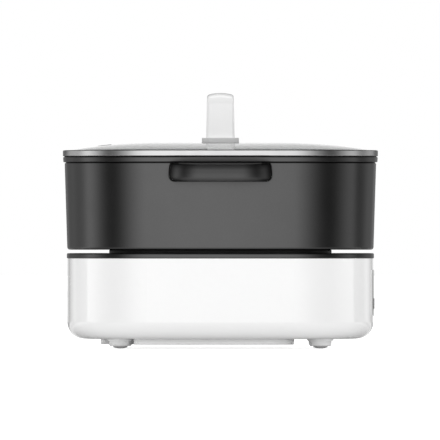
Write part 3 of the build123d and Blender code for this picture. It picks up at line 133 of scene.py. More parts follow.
# ---- lid ----
OPENING_HALF = 139.5 * MM  # inner edge of the steel rim's top leaf
LOWER_LEAF_HALF = 142.8 * MM
RIM_SHEET = 0.8 * MM
RIM_LAP = 0.3 * MM  # the channel hangs this far over the seal
RIM_DROP = 0.8 * MM  # and its top leaf lies this much lower
GLASS_THICKNESS = 4.0 * MM
GLASS_EDGE_LEAN = 0.2 * MM
DOME_BASE = RIM_HIGH.z - RIM_DROP - RIM_SHEET
DOME_POWER = 3.4
SEAL_STEP = 182.0 * MM
SEAL_SKIRT_HALF = 144.4 * MM
SEAL_WALL = 1.6 * MM

# ---- base ----
SEAM_AT = 2 * MM  # a closed profile starts and ends this far from its first corner
COVER_OPENING_HALF = PLATE_HIGH.y + 3.2 * MM
SKIRT_HALF = 120.0 * MM
SKIRT_BACK = 82.3 * MM
SKIRT_CORNER = 24.0 * MM
SKIRT_WALL = 3.0 * MM
SKIRT_LEAN = 0.3 * MM
SKIRT_LET_IN = 2 * MM  # how far it reaches into the bottom cover's sides
SKIRT_PAST = 0.3 * MM  # how far it stands before the bottom cover's front
SKIRT_DROP = 0.1 * MM  # and below it
SKIRT_TUCK = 0.2 * MM  # how far its top goes up into the base shell
FOOT_R = 10.7 * MM
FOOT_TAPER = 0.3 * MM
FOOT_FLANGE_R = 12.4 * MM
FOOT_FLANGE = 1.75 * MM
FOOT_BOTTOM = 2.4 * MM
PAD_R = 7.15 * MM
PAD_LAP = 0.2 * MM
PAD_PROUD = 0.1 * MM  # how far the dome's edge stands below the foot's bottom
PAD_TOP = FOOT_BOTTOM + 0.8 * MM
PAD_SEAT = FOOT_BOTTOM + 1 * MM
PAD_BULGE = 0.96  # square of the pad's radius over its dome's; nearer 1 is a fuller dome
SPRING_WIRE = 1.2 * MM
SPRING_TURNS = 5

# ---- control panel ----
KEYS = ("key_power", "key_minus", "key_plus", "key_mode", "key_timer")
PANEL_PROUD = 0.6 * MM
PANEL_CORNER = 4.9 * MM
FRAME_WIDTH = 0.9 * MM
FRAME_LET_IN = 0.2 * MM
KEY_PROUD = 0.25 * MM
KEY_CENTRE_Z = 42.5 * MM
KEY_RING = 6.3  # radius in millimetres
KEY_RING_WIDTH = 0.22 * MM
WINDOW_CENTRE_Z = 61.0 * MM
WINDOW_HALF_X = 24.5 * MM
WINDOW_HALF_Z = 9.0 * MM
WINDOW_CORNER = 3.0 * MM
WINDOW_LINE = 0.25 * MM
PRINT_PROUD = 0.03 * MM
PRINT_WIDTH = 0.6 * MM
DIGIT_SCALE = 2.4 * MM
DIGIT_WIDTH = 0.85 * MM
DIGIT_GAP = 0.12  # cut off each end of a bar, in units of DIGIT_SCALE

# ---- grids ----
ARC_STEPS = 1.6  # of a profile's round, for each millimetre of arc
SWEEP_STEPS = 26  # of each corner of a swept path
TURNED_STEPS = 64
SOLE_STEPS = 14
COIL_STEPS = 36  # of each turn of the spring
WIRE_STEPS = 12  # round its wire
MARK_ARC_STEPS = 40
CORNER_GAP = 0.01  # degrees left between a frame's corner and its next side, so that no two points coincide
SAME_POINT = 1e-6

# ---- camera: a level look along +X from far away, so that all verticals stay upright ----
CAMERA_DISTANCE = 19.0
CAMERA_HEIGHT = 112 * MM
CAMERA_CLIP = (0.1, 100)
VIEW_CENTRE_Y = 0.38 * MM
VIEW_CENTRE_Z = 121.9 * MM
VIEW_HEIGHT = 419.06 * MM  # what the view takes in at the object's middle
CAMERA_SENSOR = 36.0

# ---- light and floor ----
SKY_LIGHT = 0.82
FLOOR_HALF = 30.0
FLOOR_GREY = 0.9
FLOOR_GLOW = 0.7
STRIP_DISTANCE = 4.0
STRIP_WIDTH = 3.6
STRIP_HEIGHT = 160 * MM
STRIP_LIFT = 5 * MM
STRIPS = ((180, 38.0), (90, 22.0), (270, 22.0), (0, 14.0))  # bearing from +X in degrees, watts

# ---- light tent: floor sheet, wall and roof of cloth round the object ----
# rows of the cloth from its floor sheet's inner edge to its roof's: radius and height in metres, shade on -X's
# side, shade past TENT_TURN, and how much of the bearings' pattern shows
TENT_ROWS = (
    (0.0, 0.001, 0.35, 0.9, 0.3),
    (0.15, 0.001, 0.4, 0.95, 0.3),
    (0.19, 0.001, 0.4, 0.95, 0.3),
    (0.3, 0.001, 0.65, 1.0, 0.6),
    (0.7, 0.001, 0.9, 1.0, 0.9),
    (1.2, 0.001, 0.95, 0.95, 1.0),
    (2.5, 0.001, 1.0, 1.0, 1.0),
    (2.5, 0.4, 1.0, 1.0, 1.0),
    (2.5, 0.7, 0.7, 0.7, 1.0),
    (2.5, 1.1, 0.25, 0.25, 1.0),
    (2.5, 1.6, 0.12, 0.12, 1.0),
    (2.0, 2.4, 0.1, 0.1, 1.0),
    (0.6, 2.6, 0.1, 0.1, 1.0),
)
TENT_TURN = (60, 120)  # bearings between which the floor sheet's shade changes
# bearings from -X in degrees, and the cloth's brightness there on the back's (+Y) and the front's (-Y) side
TENT_BEARINGS = (0, 9, 17, 25, 33, 41, 49, 60, 68, 76, 86, 94, 99, 100, 112, 122, 134, 146, 160, 169, 174, 180)
TENT_TO_BACK = (1, 1, 0.9, 0.7, 0.46, 0.2, 0.04, 0.02, 0.16, 0.42, 0.78, 0.95)
TENT_TO_BACK += (1.0, 0.35, 0.35, 0.42, 0.7, 0.5, 0.4, 0.4, 1.0, 1.1)
TENT_TO_FRONT = (1, 0.93, 0.76, 0.54, 0.33, 0.14, 0.04, 0.02, 0.12, 0.3, 0.5, 0.62)
TENT_TO_FRONT += (0.66, 0.04, 0.16, 0.34, 0.75, 0.6, 0.45, 0.5, 1.0, 1.1)


# ================= camera, light and floor =================
def place_in_scene(name, data):
    """New object of the scene that shows `data`."""
    thing = bpy.data.objects.new(name, data)
    bpy.context.scene.collection.objects.link(thing)
    return thing


def make_camera():
    """Long-lens camera: the lens is as long against the sensor as the distance is against the view's height."""
    data = bpy.data.cameras.new("camera")
    camera = place_in_scene("camera", data)
    place = Vector((-CAMERA_DISTANCE, VIEW_CENTRE_Y, CAMERA_HEIGHT))
    target = Vector((0, VIEW_CENTRE_Y, VIEW_CENTRE_Z))
    camera.location = place
    camera.rotation_euler = (target - place).to_track_quat("-Z", "Y").to_euler()
    data.sensor_width = CAMERA_SENSOR
    data.lens = CAMERA_SENSOR * (target - place).length / VIEW_HEIGHT
    data.clip_start, data.clip_end = CAMERA_CLIP
    bpy.context.scene.camera = camera


def maths(tree, operation, first, second):
    """Math node's result; `first` is a socket and `second` a socket or a number."""
    node = tree.nodes.new("ShaderNodeMath")
    node.operation = operation
    tree.links.new(first, node.inputs[0])
    if isinstance(second, float):
        node.inputs[1].default_value = second
    else:
        tree.links.new(second, node.inputs[1])
    return node.outputs[0]


def seen_glow(tree, glow):
    """`glow` for rays that show a surface, which are camera, glossy and transmission rays, and 0 for others."""
    path = tree.nodes.new("ShaderNodeLightPath")
    seen = maths(tree, "MAXIMUM", path.outputs["Is Camera Ray"], path.outputs["Is Glossy Ray"])
    seen = maths(tree, "MAXIMUM", seen, path.outputs["Is Transmission Ray"])
    return maths(tree, "MULTIPLY", seen, glow)


def make_world():
    """Even white sky: 1 where it is seen or mirrored, a little less where it lights matt surfaces."""
    world = bpy.data.worlds.new("studio")
    world.use_nodes = True
    tree = world.node_tree
    sky = tree.nodes["Background"]
    sky.inputs["Color"].default_value = (1, 1, 1, 1)
    level = maths(tree, "ADD", seen_glow(tree, 1 - SKY_LIGHT), SKY_LIGHT)
    tree.links.new(level, sky.inputs["Strength"])
    bpy.context.scene.world = world


def make_strips():
    """Wide low softboxes on the floor, the strongest at the camera's side, which light under the base too."""
    for bearing, power in STRIPS:
        data = bpy.data.lights.new("strip", "AREA")
        data.shape = "RECTANGLE"
        data.size, data.size_y = STRIP_WIDTH, STRIP_HEIGHT
        data.energy = power
        lamp = place_in_scene("strip", data)
        angle = math.radians(bearing)
        across, along = STRIP_DISTANCE * math.cos(angle), STRIP_DISTANCE * math.sin(angle)
        lamp.location = (across, along, STRIP_HEIGHT / 2 + STRIP_LIFT)
        lamp.rotation_euler = (math.pi / 2, 0, angle + math.pi / 2)
        lamp.visible_camera = False
        lamp.visible_glossy = False


def make_floor():
    """Pale floor that keeps the object's shadow and otherwise reads as white."""
    half = FLOOR_HALF
    mesh = bpy.data.meshes.new("floor")
    mesh.from_pydata([(-half, -half, 0), (half, -half, 0), (half, half, 0), (-half, half, 0)], [], [(0, 1, 2, 3)])
    floor = place_in_scene("floor", mesh)
    material = bpy.data.materials.new("pale_floor")
    material.use_nodes = True
    tree = material.node_tree
    shader = tree.nodes["Principled BSDF"]
    shader.inputs["Base Color"].default_value = (FLOOR_GREY, FLOOR_GREY, FLOOR_GREY, 1)
    shader.inputs["Roughness"].default_value = 1.0
    shader.inputs["Specular IOR Level"].default_value = 0.0
    shader.inputs["Emission Color"].default_value = (1, 1, 1, 1)
    tree.links.new(seen_glow(tree, FLOOR_GLOW), shader.inputs["Emission Strength"])
    mesh.materials.append(material)


def make_tent():
    """Cloth of the tent, a grid over bearing and TENT_ROWS, seen by mirror reflections only. Its glow is the row's
    shade times the bearing's brightness, as far as the row follows that."""
    bearing = np.arange(-TENT_BEARINGS[-1], TENT_BEARINGS[-1] + 0.5, 1.0)
    to_back = np.interp(np.abs(bearing), TENT_BEARINGS, TENT_TO_BACK)
    to_front = np.interp(np.abs(bearing), TENT_BEARINGS, TENT_TO_FRONT)
    glow = np.where(bearing > 0, to_back, to_front)
    angle = np.radians(180 - bearing)
    radius, height, ahead, aside, follow = np.array(TENT_ROWS).T[:, :, None]
    shade = ahead + (aside - ahead) * np.interp(np.abs(bearing), TENT_TURN, (0, 1))
    points = np.stack(np.broadcast_arrays(radius * np.cos(angle), radius * np.sin(angle), height), -1)
    glow = shade * (1 - follow + follow * glow)
    mesh = bpy.data.meshes.new("tent")
    faces = grid_faces(*points.shape[:2], False, False)
    mesh.from_pydata(points.reshape(-1, 3).tolist(), [], faces.tolist())
    mesh.attributes.new("glow", "FLOAT", "POINT").data.foreach_set("value", glow.ravel())
    tent = place_in_scene("tent", mesh)
    material = bpy.data.materials.new("tent_cloth")
    material.use_nodes = True
    tree = material.node_tree
    tree.nodes.remove(tree.nodes["Principled BSDF"])
    light = tree.nodes.new("ShaderNodeEmission")
    level = tree.nodes.new("ShaderNodeAttribute")
    level.attribute_name = "glow"
    tree.links.new(level.outputs["Fac"], light.inputs["Strength"])
    tree.links.new(light.outputs[0], tree.nodes["Material Output"].inputs["Surface"])
    mesh.materials.append(material)
    tent.visible_camera = False
    tent.visible_diffuse = False
    tent.visible_transmission = False
    tent.visible_shadow = False


# ================= materials =================
def noise(tree, scale, detail=2.0):
    """Noise over Object coordinates, `scale` waves a metre."""
    place = tree.nodes.new("ShaderNodeTexCoord")
    texture = tree.nodes.new("ShaderNodeTexNoise")
    texture.inputs["Scale"].default_value = scale
    texture.inputs["Detail"].default_value = detail
    tree.links.new(place.outputs["Object"], texture.inputs["Vector"])
    return texture.outputs["Fac"]


def spread(tree, value, low, high):
    """Maps noise from its usual range, 0.3 to 0.7, to low..high."""
    node = tree.nodes.new("ShaderNodeMapRange")
    node.inputs["From Min"].default_value = 0.3
    node.inputs["From Max"].default_value = 0.7
    node.inputs["To Min"].default_value = low
    node.inputs["To Max"].default_value = high
    tree.links.new(value, node.inputs["Value"])
    return node.outputs["Result"]


def finish(
    name,
    colour,
    roughness,
    metallic=0.0,
    patch=(0.02, 30),
    wear=(0.03, 60),
    grain=(0.0, 2000),
    **sockets,
):
    """Principled finish: `patch` varies the colour and `wear` the roughness, each as (amount, waves a metre);
    `grain` is the bump's (height in metres, waves a metre). Other values go straight to the shader's sockets."""
    value = (colour, colour, colour) if isinstance(colour, (int, float)) else colour
    material = bpy.data.materials.new(name)
    material.use_nodes = True
    tree = material.node_tree
    shader = tree.nodes["Principled BSDF"]
    shader.inputs["Base Color"].default_value = (*value, 1)
    shader.inputs["Roughness"].default_value = roughness
    shader.inputs["Metallic"].default_value = metallic
    for socket, setting in sockets.items():
        shader.inputs[socket.replace("_", " ")].default_value = setting
    mix = tree.nodes.new("ShaderNodeMix")
    mix.data_type = "RGBA"
    mix.inputs[6].default_value = (*[part * (1 - patch[0]) for part in value], 1)
    mix.inputs[7].default_value = (*[min(part * (1 + patch[0]), 1) for part in value], 1)
    tree.links.new(spread(tree, noise(tree, patch[1]), 0, 1), mix.inputs[0])
    tree.links.new(mix.outputs[2], shader.inputs["Base Color"])
    rough = spread(tree, noise(tree, wear[1], 4), max(roughness - wear[0], 0.02), roughness + wear[0])
    tree.links.new(rough, shader.inputs["Roughness"])
    if grain[0]:
        bump = tree.nodes.new("ShaderNodeBump")
        bump.inputs["Strength"].default_value = 1.0
        bump.inputs["Distance"].default_value = grain[0]
        tree.links.new(noise(tree, grain[1], 3), bump.inputs["Height"])
        tree.links.new(bump.outputs["Normal"], shader.inputs["Normal"])
    return material


FINISHES = {
    "white_shell": finish(
        "white_gloss", 0.95, 0.08, patch=(0.004, 12), wear=(0.02, 60), Specular_IOR_Level=1.0, Coat_Weight=1.0
    ),
    "pot_coating": finish(
        "pot_coating",
        0.152,
        0.3,
        metallic=1.0,
        patch=(0.02, 600),
        wear=(0.012, 40),
        grain=(0.0015 * MM, 1800),
        Specular_Tint=(0.5, 0.5, 0.5, 1),
    ),
    "dark_cover": finish(
        "dark_satin",
        0.15,
        0.31,
        metallic=1.0,
        patch=(0.02, 600),
        wear=(0.012, 40),
        grain=(0.0015 * MM, 1800),
        Specular_Tint=(0.5, 0.5, 0.5, 1),
    ),
    "grip": finish(
        "grip_satin",
        0.135,
        0.42,
        metallic=1.0,
        patch=(0.02, 900),
        wear=(0.015, 60),
        grain=(0.002 * MM, 2500),
        Specular_Tint=(0.15, 0.15, 0.15, 1),
    ),
    "plate_coating": finish("plate_black", 0.018, 0.45, patch=(0.1, 900), grain=(0.01 * MM, 2500)),
    "rim_steel": finish(
        "rim_steel",
        0.98,
        0.31,
        metallic=1.0,
        patch=(0.01, 400),
        grain=(0.002 * MM, 1500),
        Specular_Tint=(0.1, 0.1, 0.1, 1),
    ),
    "glass": finish(
        "lid_glass_clear",
        (0.75, 0.765, 0.76),
        0.02,
        patch=(0.002, 20),
        wear=(0.0, 25),
        Transmission_Weight=1.0,
        IOR=1.5,
    ),
    "seal": finish("seal_black", 0.008, 0.6, patch=(0.1, 200), grain=(0.01 * MM, 2500)),
    "handle_white": finish(
        "handle_gloss", 0.98, 0.1, patch=(0.003, 20), wear=(0.02, 60), Specular_IOR_Level=1.0, Coat_Weight=1.0
    ),
    "collar_grey": finish(
        "collar_satin", 0.66, 0.5, patch=(0.01, 80), grain=(0.003 * MM, 1500), Specular_IOR_Level=0.3
    ),
    "foot_white": finish("foot_gloss", 0.95, 0.15, patch=(0.01, 80), grain=(0.003 * MM, 800), Coat_Weight=0.5),
    "pad_rubber": finish("pad_rubber", 0.55, 0.5, patch=(0.1, 600), grain=(0.02 * MM, 2500)),
    "inlet_black": finish("inlet_black", 0.02, 0.4, patch=(0.08, 300), grain=(0.01 * MM, 2500)),
    "panel_black": finish("panel_gloss", 0.008, 0.08, patch=(0.05, 30), grain=(0.001 * MM, 300)),
    "window_smoke": finish("window_smoke", 0.012, 0.05, patch=(0.05, 40)),
    "vent_steel": finish("vent_steel", 0.3, 0.35, metallic=1.0, patch=(0.03, 600), grain=(0.004 * MM, 2500)),
    "tray_white": finish(
        "tray_satin", 0.97, 0.5, patch=(0.004, 30), grain=(0.004 * MM, 1500), Specular_IOR_Level=0.2
    ),
    "print_grey": finish("print_grey", 0.62, 0.5, patch=(0.03, 400)),
    "digit_light": finish(
        "digit_light", 0.8, 0.5, patch=(0.02, 400), Emission_Color=(0.75, 0.9, 1, 1), Emission_Strength=0.6
    ),
    "key_grey": finish("key_satin", 0.05, 0.14, patch=(0.05, 500), grain=(0.002 * MM, 2500)),
}
NODE_FINISHES = {"steam_vent": "vent_steel", "bottom_cover": "tray_white"}  # where one differs from its slot's
METALS = ("brushed_steel", "aluminium", "brass", "chrome")  # classes of the slots that have no finish above
METAL_ROUGHNESS = 0.35
PLAIN_ROUGHNESS = 0.5
INNER_PATCH = (0.06, 300)


def dress_frame():
    """Gives every carried-over node a procedural finish, by its material slot."""
    slots = {row["node"]: row["material_slot"] for row in frame["record"]["subparts"]}
    classes = {row["slot"]: row for row in frame["record"]["materials"]}
    for node, piece in frame["nodes"].items():
        slot = slots[node]
        if slot not in FINISHES:
            colour = tuple(classes[slot]["base_color"][:3])
            metal = classes[slot]["class"] in METALS
            roughness = METAL_ROUGHNESS if metal else PLAIN_ROUGHNESS
            FINISHES[slot] = finish(slot, colour, roughness, 1.0 if metal else 0.0, INNER_PATCH)
        piece.data.materials.clear()
        piece.data.materials.append(FINISHES[NODE_FINISHES.get(node, slot)])


# ================= shapes =================
def grid_faces(rows, columns, wrap_rows, wrap_columns):
    """Quads between the neighbours of a rows x columns grid; a wrapped way also joins its last to its first."""
    row = np.arange(rows if wrap_rows else rows - 1)[:, None]
    column = np.arange(columns if wrap_columns else columns - 1)[None, :]
    below, beside = (row + 1) % rows, (column + 1) % columns
    corners = (row * columns + column, row * columns + beside, below * columns + beside, below * columns + column)
    return np.stack(np.broadcast_arrays(*corners), -1).reshape(-1, 4)


def turned_by(points, quarter):
    """Plan points turned by quarter turns about the middle."""
    cos, sin = (1, 0, -1, 0)[quarter], (0, 1, 0, -1)[quarter]
    return points @ np.array([[cos, sin], [-sin, cos]])


def plan_wall():
    """Points and outward normals round the base's wall. A bowed side is an arc of SIDE_RADIUS whose centre lies
    SIDE_RADIUS - BASE_HALF beyond the middle. A corner's arc has its centre at (c, c), where the distance between
    both centres is the difference of the radii, so that the arcs are tangent."""
    reach, gap = SIDE_RADIUS - BASE_HALF, SIDE_RADIUS - CORNER_RADIUS
    c = (math.sqrt(2 * gap**2 - reach**2) - reach) / 2
    turn = math.asin(c / gap)
    side = np.linspace(-turn, turn, SIDE_STEPS, endpoint=False)
    corner = np.linspace(turn, math.pi / 2 - turn, CORNER_STEPS, endpoint=False)
    normals = [np.stack([np.cos(a), np.sin(a)], -1) for a in (side, corner)]
    points = [normals[0] * SIDE_RADIUS - (reach, 0), normals[1] * CORNER_RADIUS + (c, c)]
    quarters = range(4)
    wall = np.concatenate([turned_by(np.concatenate(points), k) for k in quarters])
    return wall, np.concatenate([turned_by(np.concatenate(normals), k) for k in quarters])


WALL, WALL_NORMALS = plan_wall()


def outlines(halves):
    """Plan outlines parallel to the wall, one for each half width. Nearer the middle than CORE_HALF the outline
    shrinks evenly instead, down to a point."""
    halves = np.asarray(halves, float)[:, None, None]
    wide = WALL + (np.maximum(halves, CORE_HALF) - BASE_HALF) * WALL_NORMALS
    return wide * np.minimum(halves / CORE_HALF, 1)


def rounded(*corners, near=0.15 * MM, steps=None):
    """Profile through corners (across, up, radius of the round). An arc tangent to both runs turns from one run to
    the next as its spoke swings evenly from the first tangent point to the second; a close point `near` before
    and after each arc keeps the flats flat."""
    spots = np.array([corner[:2] for corner in corners], float)
    line = [spots[0]]
    for before, spot, after, corner in zip(spots, spots[1:], spots[2:], corners[1:]):
        radius = corner[2]
        back, on = before - spot, after - spot
        back, on = back / np.linalg.norm(back), on / np.linalg.norm(on)
        half_angle = math.acos(float(np.clip(back @ on, -1, 1))) / 2
        tangent = radius / math.tan(half_angle)
        centre = spot + (back + on) / np.linalg.norm(back + on) * radius / math.sin(half_angle)
        first, last = spot + back * tangent - centre, spot + on * tangent - centre
        swing = math.pi - 2 * half_angle
        share = np.linspace(0, 1, steps or max(4, round(swing * radius / MM * ARC_STEPS) + 3))[:, None]
        arc = (np.sin((1 - share) * swing) * first + np.sin(share * swing) * last) / math.sin(swing) + centre
        line += [spot + back * (tangent + near), *arc, spot + on * (tangent + near)]
    return np.array([*line, spots[-1]])


def lengthened(line, longest):
    """The line with extra even points on every run longer than `longest`."""
    runs = np.diff(line, axis=0)
    counts = np.maximum(1, np.ceil(np.linalg.norm(runs, axis=1) / longest)).astype(int)
    parts = [start + run * np.arange(count)[:, None] / count for start, run, count in zip(line, runs, counts)]
    return np.concatenate([*parts, line[-1:]])


def raised(plan, height):
    """Grid of plan points (x, y) with `height`, which has a value for each row, each column or each point."""
    return np.concatenate([plan, np.broadcast_to(height[..., None], (*plan.shape[:2], 1))], -1)


def carried(profile):
    """Profile rows (half width, height) carried round the plan outline."""
    return raised(outlines(profile[:, 0]), profile[:, 1][:, None])


def swept(path, section):
    """Plan points of a section's distances to the right of a path, whose direction at a point is that from its
    neighbour before to its neighbour after."""
    along = np.gradient(path, axis=0)
    along /= np.linalg.norm(along, axis=1)[:, None]
    outwards = np.stack([along[:, 1], -along[:, 0]], -1)
    return path[:, None] + outwards[:, None] * section[None, :, :1]


def spun(profile, place):
    """Profile rows (radius, height) turned about an upright axis at `place`."""
    angle = np.linspace(0, 2 * math.pi, TURNED_STEPS, endpoint=False)
    ring = np.stack([np.cos(angle), np.sin(angle), 0 * angle], -1)
    points = profile[:, 0][:, None, None] * ring[None]
    points += np.array([place[0], place[1], 0])
    points[..., 2] = profile[:, 1][:, None]
    return points


def tube(points):
    """Points and faces of a skin over rows of points, each row a ring; a ring drawn together at its own middle
    closes each end."""
    closing = points.mean(axis=1, keepdims=True).repeat(points.shape[1], axis=1)
    points = np.concatenate([closing[:1], points, closing[-1:]])
    return points, grid_faces(*points.shape[:2], False, True)


def joined(*parts):
    """Points and faces of several (points, faces) shapes as one."""
    starts = np.cumsum([0, *[points.size // 3 for points, _ in parts]])
    points = np.concatenate([points.reshape(-1, 3) for points, _ in parts])
    return points, np.concatenate([faces + start for (_, faces), start in zip(parts, starts)])


def add_piece(name, points, faces, body, slot, *nodes, look=None):
    """Piece from points and quads; doubled points at poles are merged and all faces turned outwards. `look` is
    its finish where that isn't the slot's own."""
    mesh = bpy.data.meshes.new(name)
    mesh.from_pydata(points.reshape(-1, 3).tolist(), [], faces.tolist())
    shape = bmesh.new()
    shape.from_mesh(mesh)
    bmesh.ops.remove_doubles(shape, verts=shape.verts, dist=SAME_POINT)
    bmesh.ops.recalc_face_normals(shape, faces=shape.faces)
    shape.to_mesh(mesh)
    shape.free()
    mesh.shade_smooth()
    mesh.materials.append(FINISHES[look or slot])
    piece = place_in_scene(name, mesh)
    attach(piece, body)
    if nodes:
        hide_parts(*nodes)
    return piece


def carried_piece(name, profile, closed, body, slot, *nodes):
    """Piece of a profile carried round the plan outline; a closed profile's last row joins its first."""
    points = carried(profile)
    return add_piece(name, points, grid_faces(*points.shape[:2], closed, True), body, slot, *nodes)


# ================= pot =================
def make_pot():
    """Cast pot: flared wall, a fine V groove under the thicker band at the mouth, soft edges. The wall's half
    width grows evenly with height."""
    low, high = POT_LOW.z, POT_HIGH.z
    band_low = high - BAND_HEIGHT
    lip = band_low - GROOVE_HEIGHT
    wall = POT_TOP_HALF - (POT_TOP_HALF - POT_BOTTOM_HALF) * (high - lip) / (high - low)
    groove = wall - GROOVE_DEPTH
    outside = (
        (0, low, 0),
        (POT_BOTTOM_HALF, low, 2.5 * MM),
        (wall, lip, 0.35 * MM),
        (groove, (lip + band_low) / 2, 0.1 * MM),
        (wall, band_low, 0.1 * MM),
        (BAND_HALF - BAND_LEAN, band_low, 0.3 * MM),
        (BAND_HALF, high, 1.1 * MM),
    )
    inside = (
        (POT_TOP_HALF - POT_WALL, high, 0.6 * MM),
        (POT_BOTTOM_HALF - POT_WALL, low + POT_FLOOR, 8 * MM),
        (0, low + POT_FLOOR, 0),
    )
    carried_piece("pot_body", rounded(*outside, *inside, near=0.1 * MM), False, "pot", "pot_coating", "pot")


# ================= lid =================
def dome_rows(shares, drop):
    """Heights of the glass by share of its half width: flat in the middle and turning down ever more steeply."""
    return GLASS_HIGH.z - drop - (GLASS_HIGH.z - DOME_BASE) * shares**DOME_POWER


def make_glass():
    """Domed pane: its top and, a glass thickness lower, its underside, by share of the half width, with few rows in
    the flat middle and many where it turns down."""
    shares = np.concatenate([np.linspace(0, 0.55, 8), np.linspace(0.6, 0.985, 34), [0.993, 1.0]])
    half = GLASS_HIGH.y
    top = np.stack([shares * half, dome_rows(shares, 0)], -1)
    under = np.stack([shares * (half - GLASS_EDGE_LEAN), dome_rows(shares, GLASS_THICKNESS)], -1)[::-1]
    carried_piece("glass_dome", np.concatenate([top, under]), False, "lid", "glass", "lid_glass")


def make_rim():
    """Steel channel round the glass's edge: top leaf, upright face and lower leaf of one sheet, with soft bends."""
    half, low, high = RIM_HIGH.y, RIM_LOW.z - RIM_LAP, RIM_HIGH.z - RIM_DROP
    inner = half - RIM_SHEET
    profile = rounded(
        (LOWER_LEAF_HALF, low + RIM_SHEET / 2, 0),
        (LOWER_LEAF_HALF, low, 0.2 * MM),
        (half, low, 0.3 * MM),
        (half, high, 0.8 * MM),
        (OPENING_HALF, high, 0.3 * MM),
        (OPENING_HALF, high - RIM_SHEET, 0.2 * MM),
        (inner, high - RIM_SHEET, 0.4 * MM),
        (inner, low + RIM_SHEET, 0.4 * MM),
        (LOWER_LEAF_HALF, low + RIM_SHEET, 0.2 * MM),
        (LOWER_LEAF_HALF, low + RIM_SHEET / 2, 0),
        near=0.1 * MM,
    )
    carried_piece("rim_channel", profile[:-1], True, "lid", "rim_steel", "lid_rim")


def make_seal():
    """Black ring between rim and pot, with a soft skirt down inside the pot's mouth."""
    half, top = SEAL_HIGH.y, SEAL_HIGH.z
    inner = SEAL_SKIRT_HALF - SEAL_WALL
    profile = rounded(
        (inner, top - SEAM_AT, 0),
        (inner, top, 0.2 * MM),
        (half, top, 0.3 * MM),
        (half, SEAL_STEP, 0.3 * MM),
        (SEAL_SKIRT_HALF, SEAL_STEP, 0.15 * MM),
        (SEAL_SKIRT_HALF, SEAL_LOW.z, 0.6 * MM),
        (inner, SEAL_LOW.z, 0.6 * MM),
        (inner, top - SEAM_AT, 0),
        near=0.05 * MM,
    )
    carried_piece("seal_ring", profile[:-1], True, "lid", "seal", "lid_seal")


# ================= handles =================
def grip_section(tall):
    """Bar section as (outwards, up) about its middle, `tall` being half its height: the outer face is upright
    below, leans in more and more towards the top edge and turns under in a wide round."""
    deep = GRIP_BAR / 2
    return rounded(
        (-deep, 0, 0),
        (-deep, -tall, GRIP_INNER_ROUND),
        (deep - GRIP_UNDER_IN, -tall, 5.6 * MM),
        (deep, GRIP_FULLEST, 25 * MM),
        (deep - GRIP_SHOULDER_IN, GRIP_SHOULDER, 20 * MM),
        (deep - GRIP_TOP_IN, tall, 2.2 * MM),
        (-deep, tall, GRIP_INNER_ROUND),
        (-deep, 0, 0),
        near=0.1 * MM,
    )[:-1]


def make_grip(side):
    """D loop: the section carried along an arm, a round corner, the bowed bar, a corner and the other arm. Its
    underside is level and its top comes down evenly from the wall to the bar."""
    wall, reach = POT_TOP_HALF - GRIP_LET_IN, GRIP_HIGH.x
    low, high = GRIP_LOW.z, GRIP_HIGH.z
    half, far = GRIP_HIGH.y - GRIP_BAR / 2, reach - GRIP_BAR / 2
    path = rounded(
        (wall, -half, 0),
        (far, -half, GRIP_CORNER - GRIP_BAR / 2),
        (far + GRIP_BOW, 0, GRIP_BOW_ROUND),
        (far, half, GRIP_CORNER - GRIP_BAR / 2),
        (wall, half, 0),
        near=0.5 * MM,
        steps=SWEEP_STEPS,
    )
    tall = (high - low) / 2
    section = grip_section(tall)
    plan = swept(path, section)
    plan[..., 0] += reach - plan[..., 0].max()
    sink = GRIP_DROOP * (path[:, 0] - wall) / (far - wall)
    height = low + (high - sink[:, None] - low) * (section[None, :, 1] + tall) / (2 * tall)
    points, faces = joined(tube(raised(plan, height)), make_root(wall, half))
    name = "right" if side > 0 else "left"
    add_piece(f"grip_{name}", points * (side, 1, 1), faces, "pot", "grip", f"pot_handle_{name}")


def make_root(wall, half):
    """Rib between the arms that follows the wall: a soft bar section carried along the side's arc."""
    tall, deep = (GRIP_HIGH.z - GRIP_LOW.z) / 2 - GRIP_ROOT_MARGIN, GRIP_ROOT + GRIP_LET_IN
    section = rounded(
        (0, 0, 0),
        (0, -tall, 0.5 * MM),
        (deep, -tall, 1.8 * MM),
        (deep, tall, 1.8 * MM),
        (0, tall, 0.5 * MM),
        (0, 0, 0),
    )[:-1]
    y = np.linspace(-half, half, GRIP_ROOT_STEPS)
    x = wall - (SIDE_RADIUS - np.sqrt(SIDE_RADIUS**2 - y**2))
    plan_x = x[:, None] + section[None, :, 0]
    height = (GRIP_HIGH.z + GRIP_LOW.z) / 2 + section[None, :, 1]
    return tube(np.stack(np.broadcast_arrays(plan_x, y[:, None], height), -1))


def loop_frame(half, low, high, low_corner, high_corner):
    """Round-cornered frame as (x, height), from the middle of its lower side all the way round."""
    return rounded(
        (0, low, 0),
        (half, low, low_corner),
        (half, high, high_corner),
        (-half, high, high_corner),
        (-half, low, low_corner),
        (0, low, 0),
        steps=LOOP_STEPS,
    )[:-1]


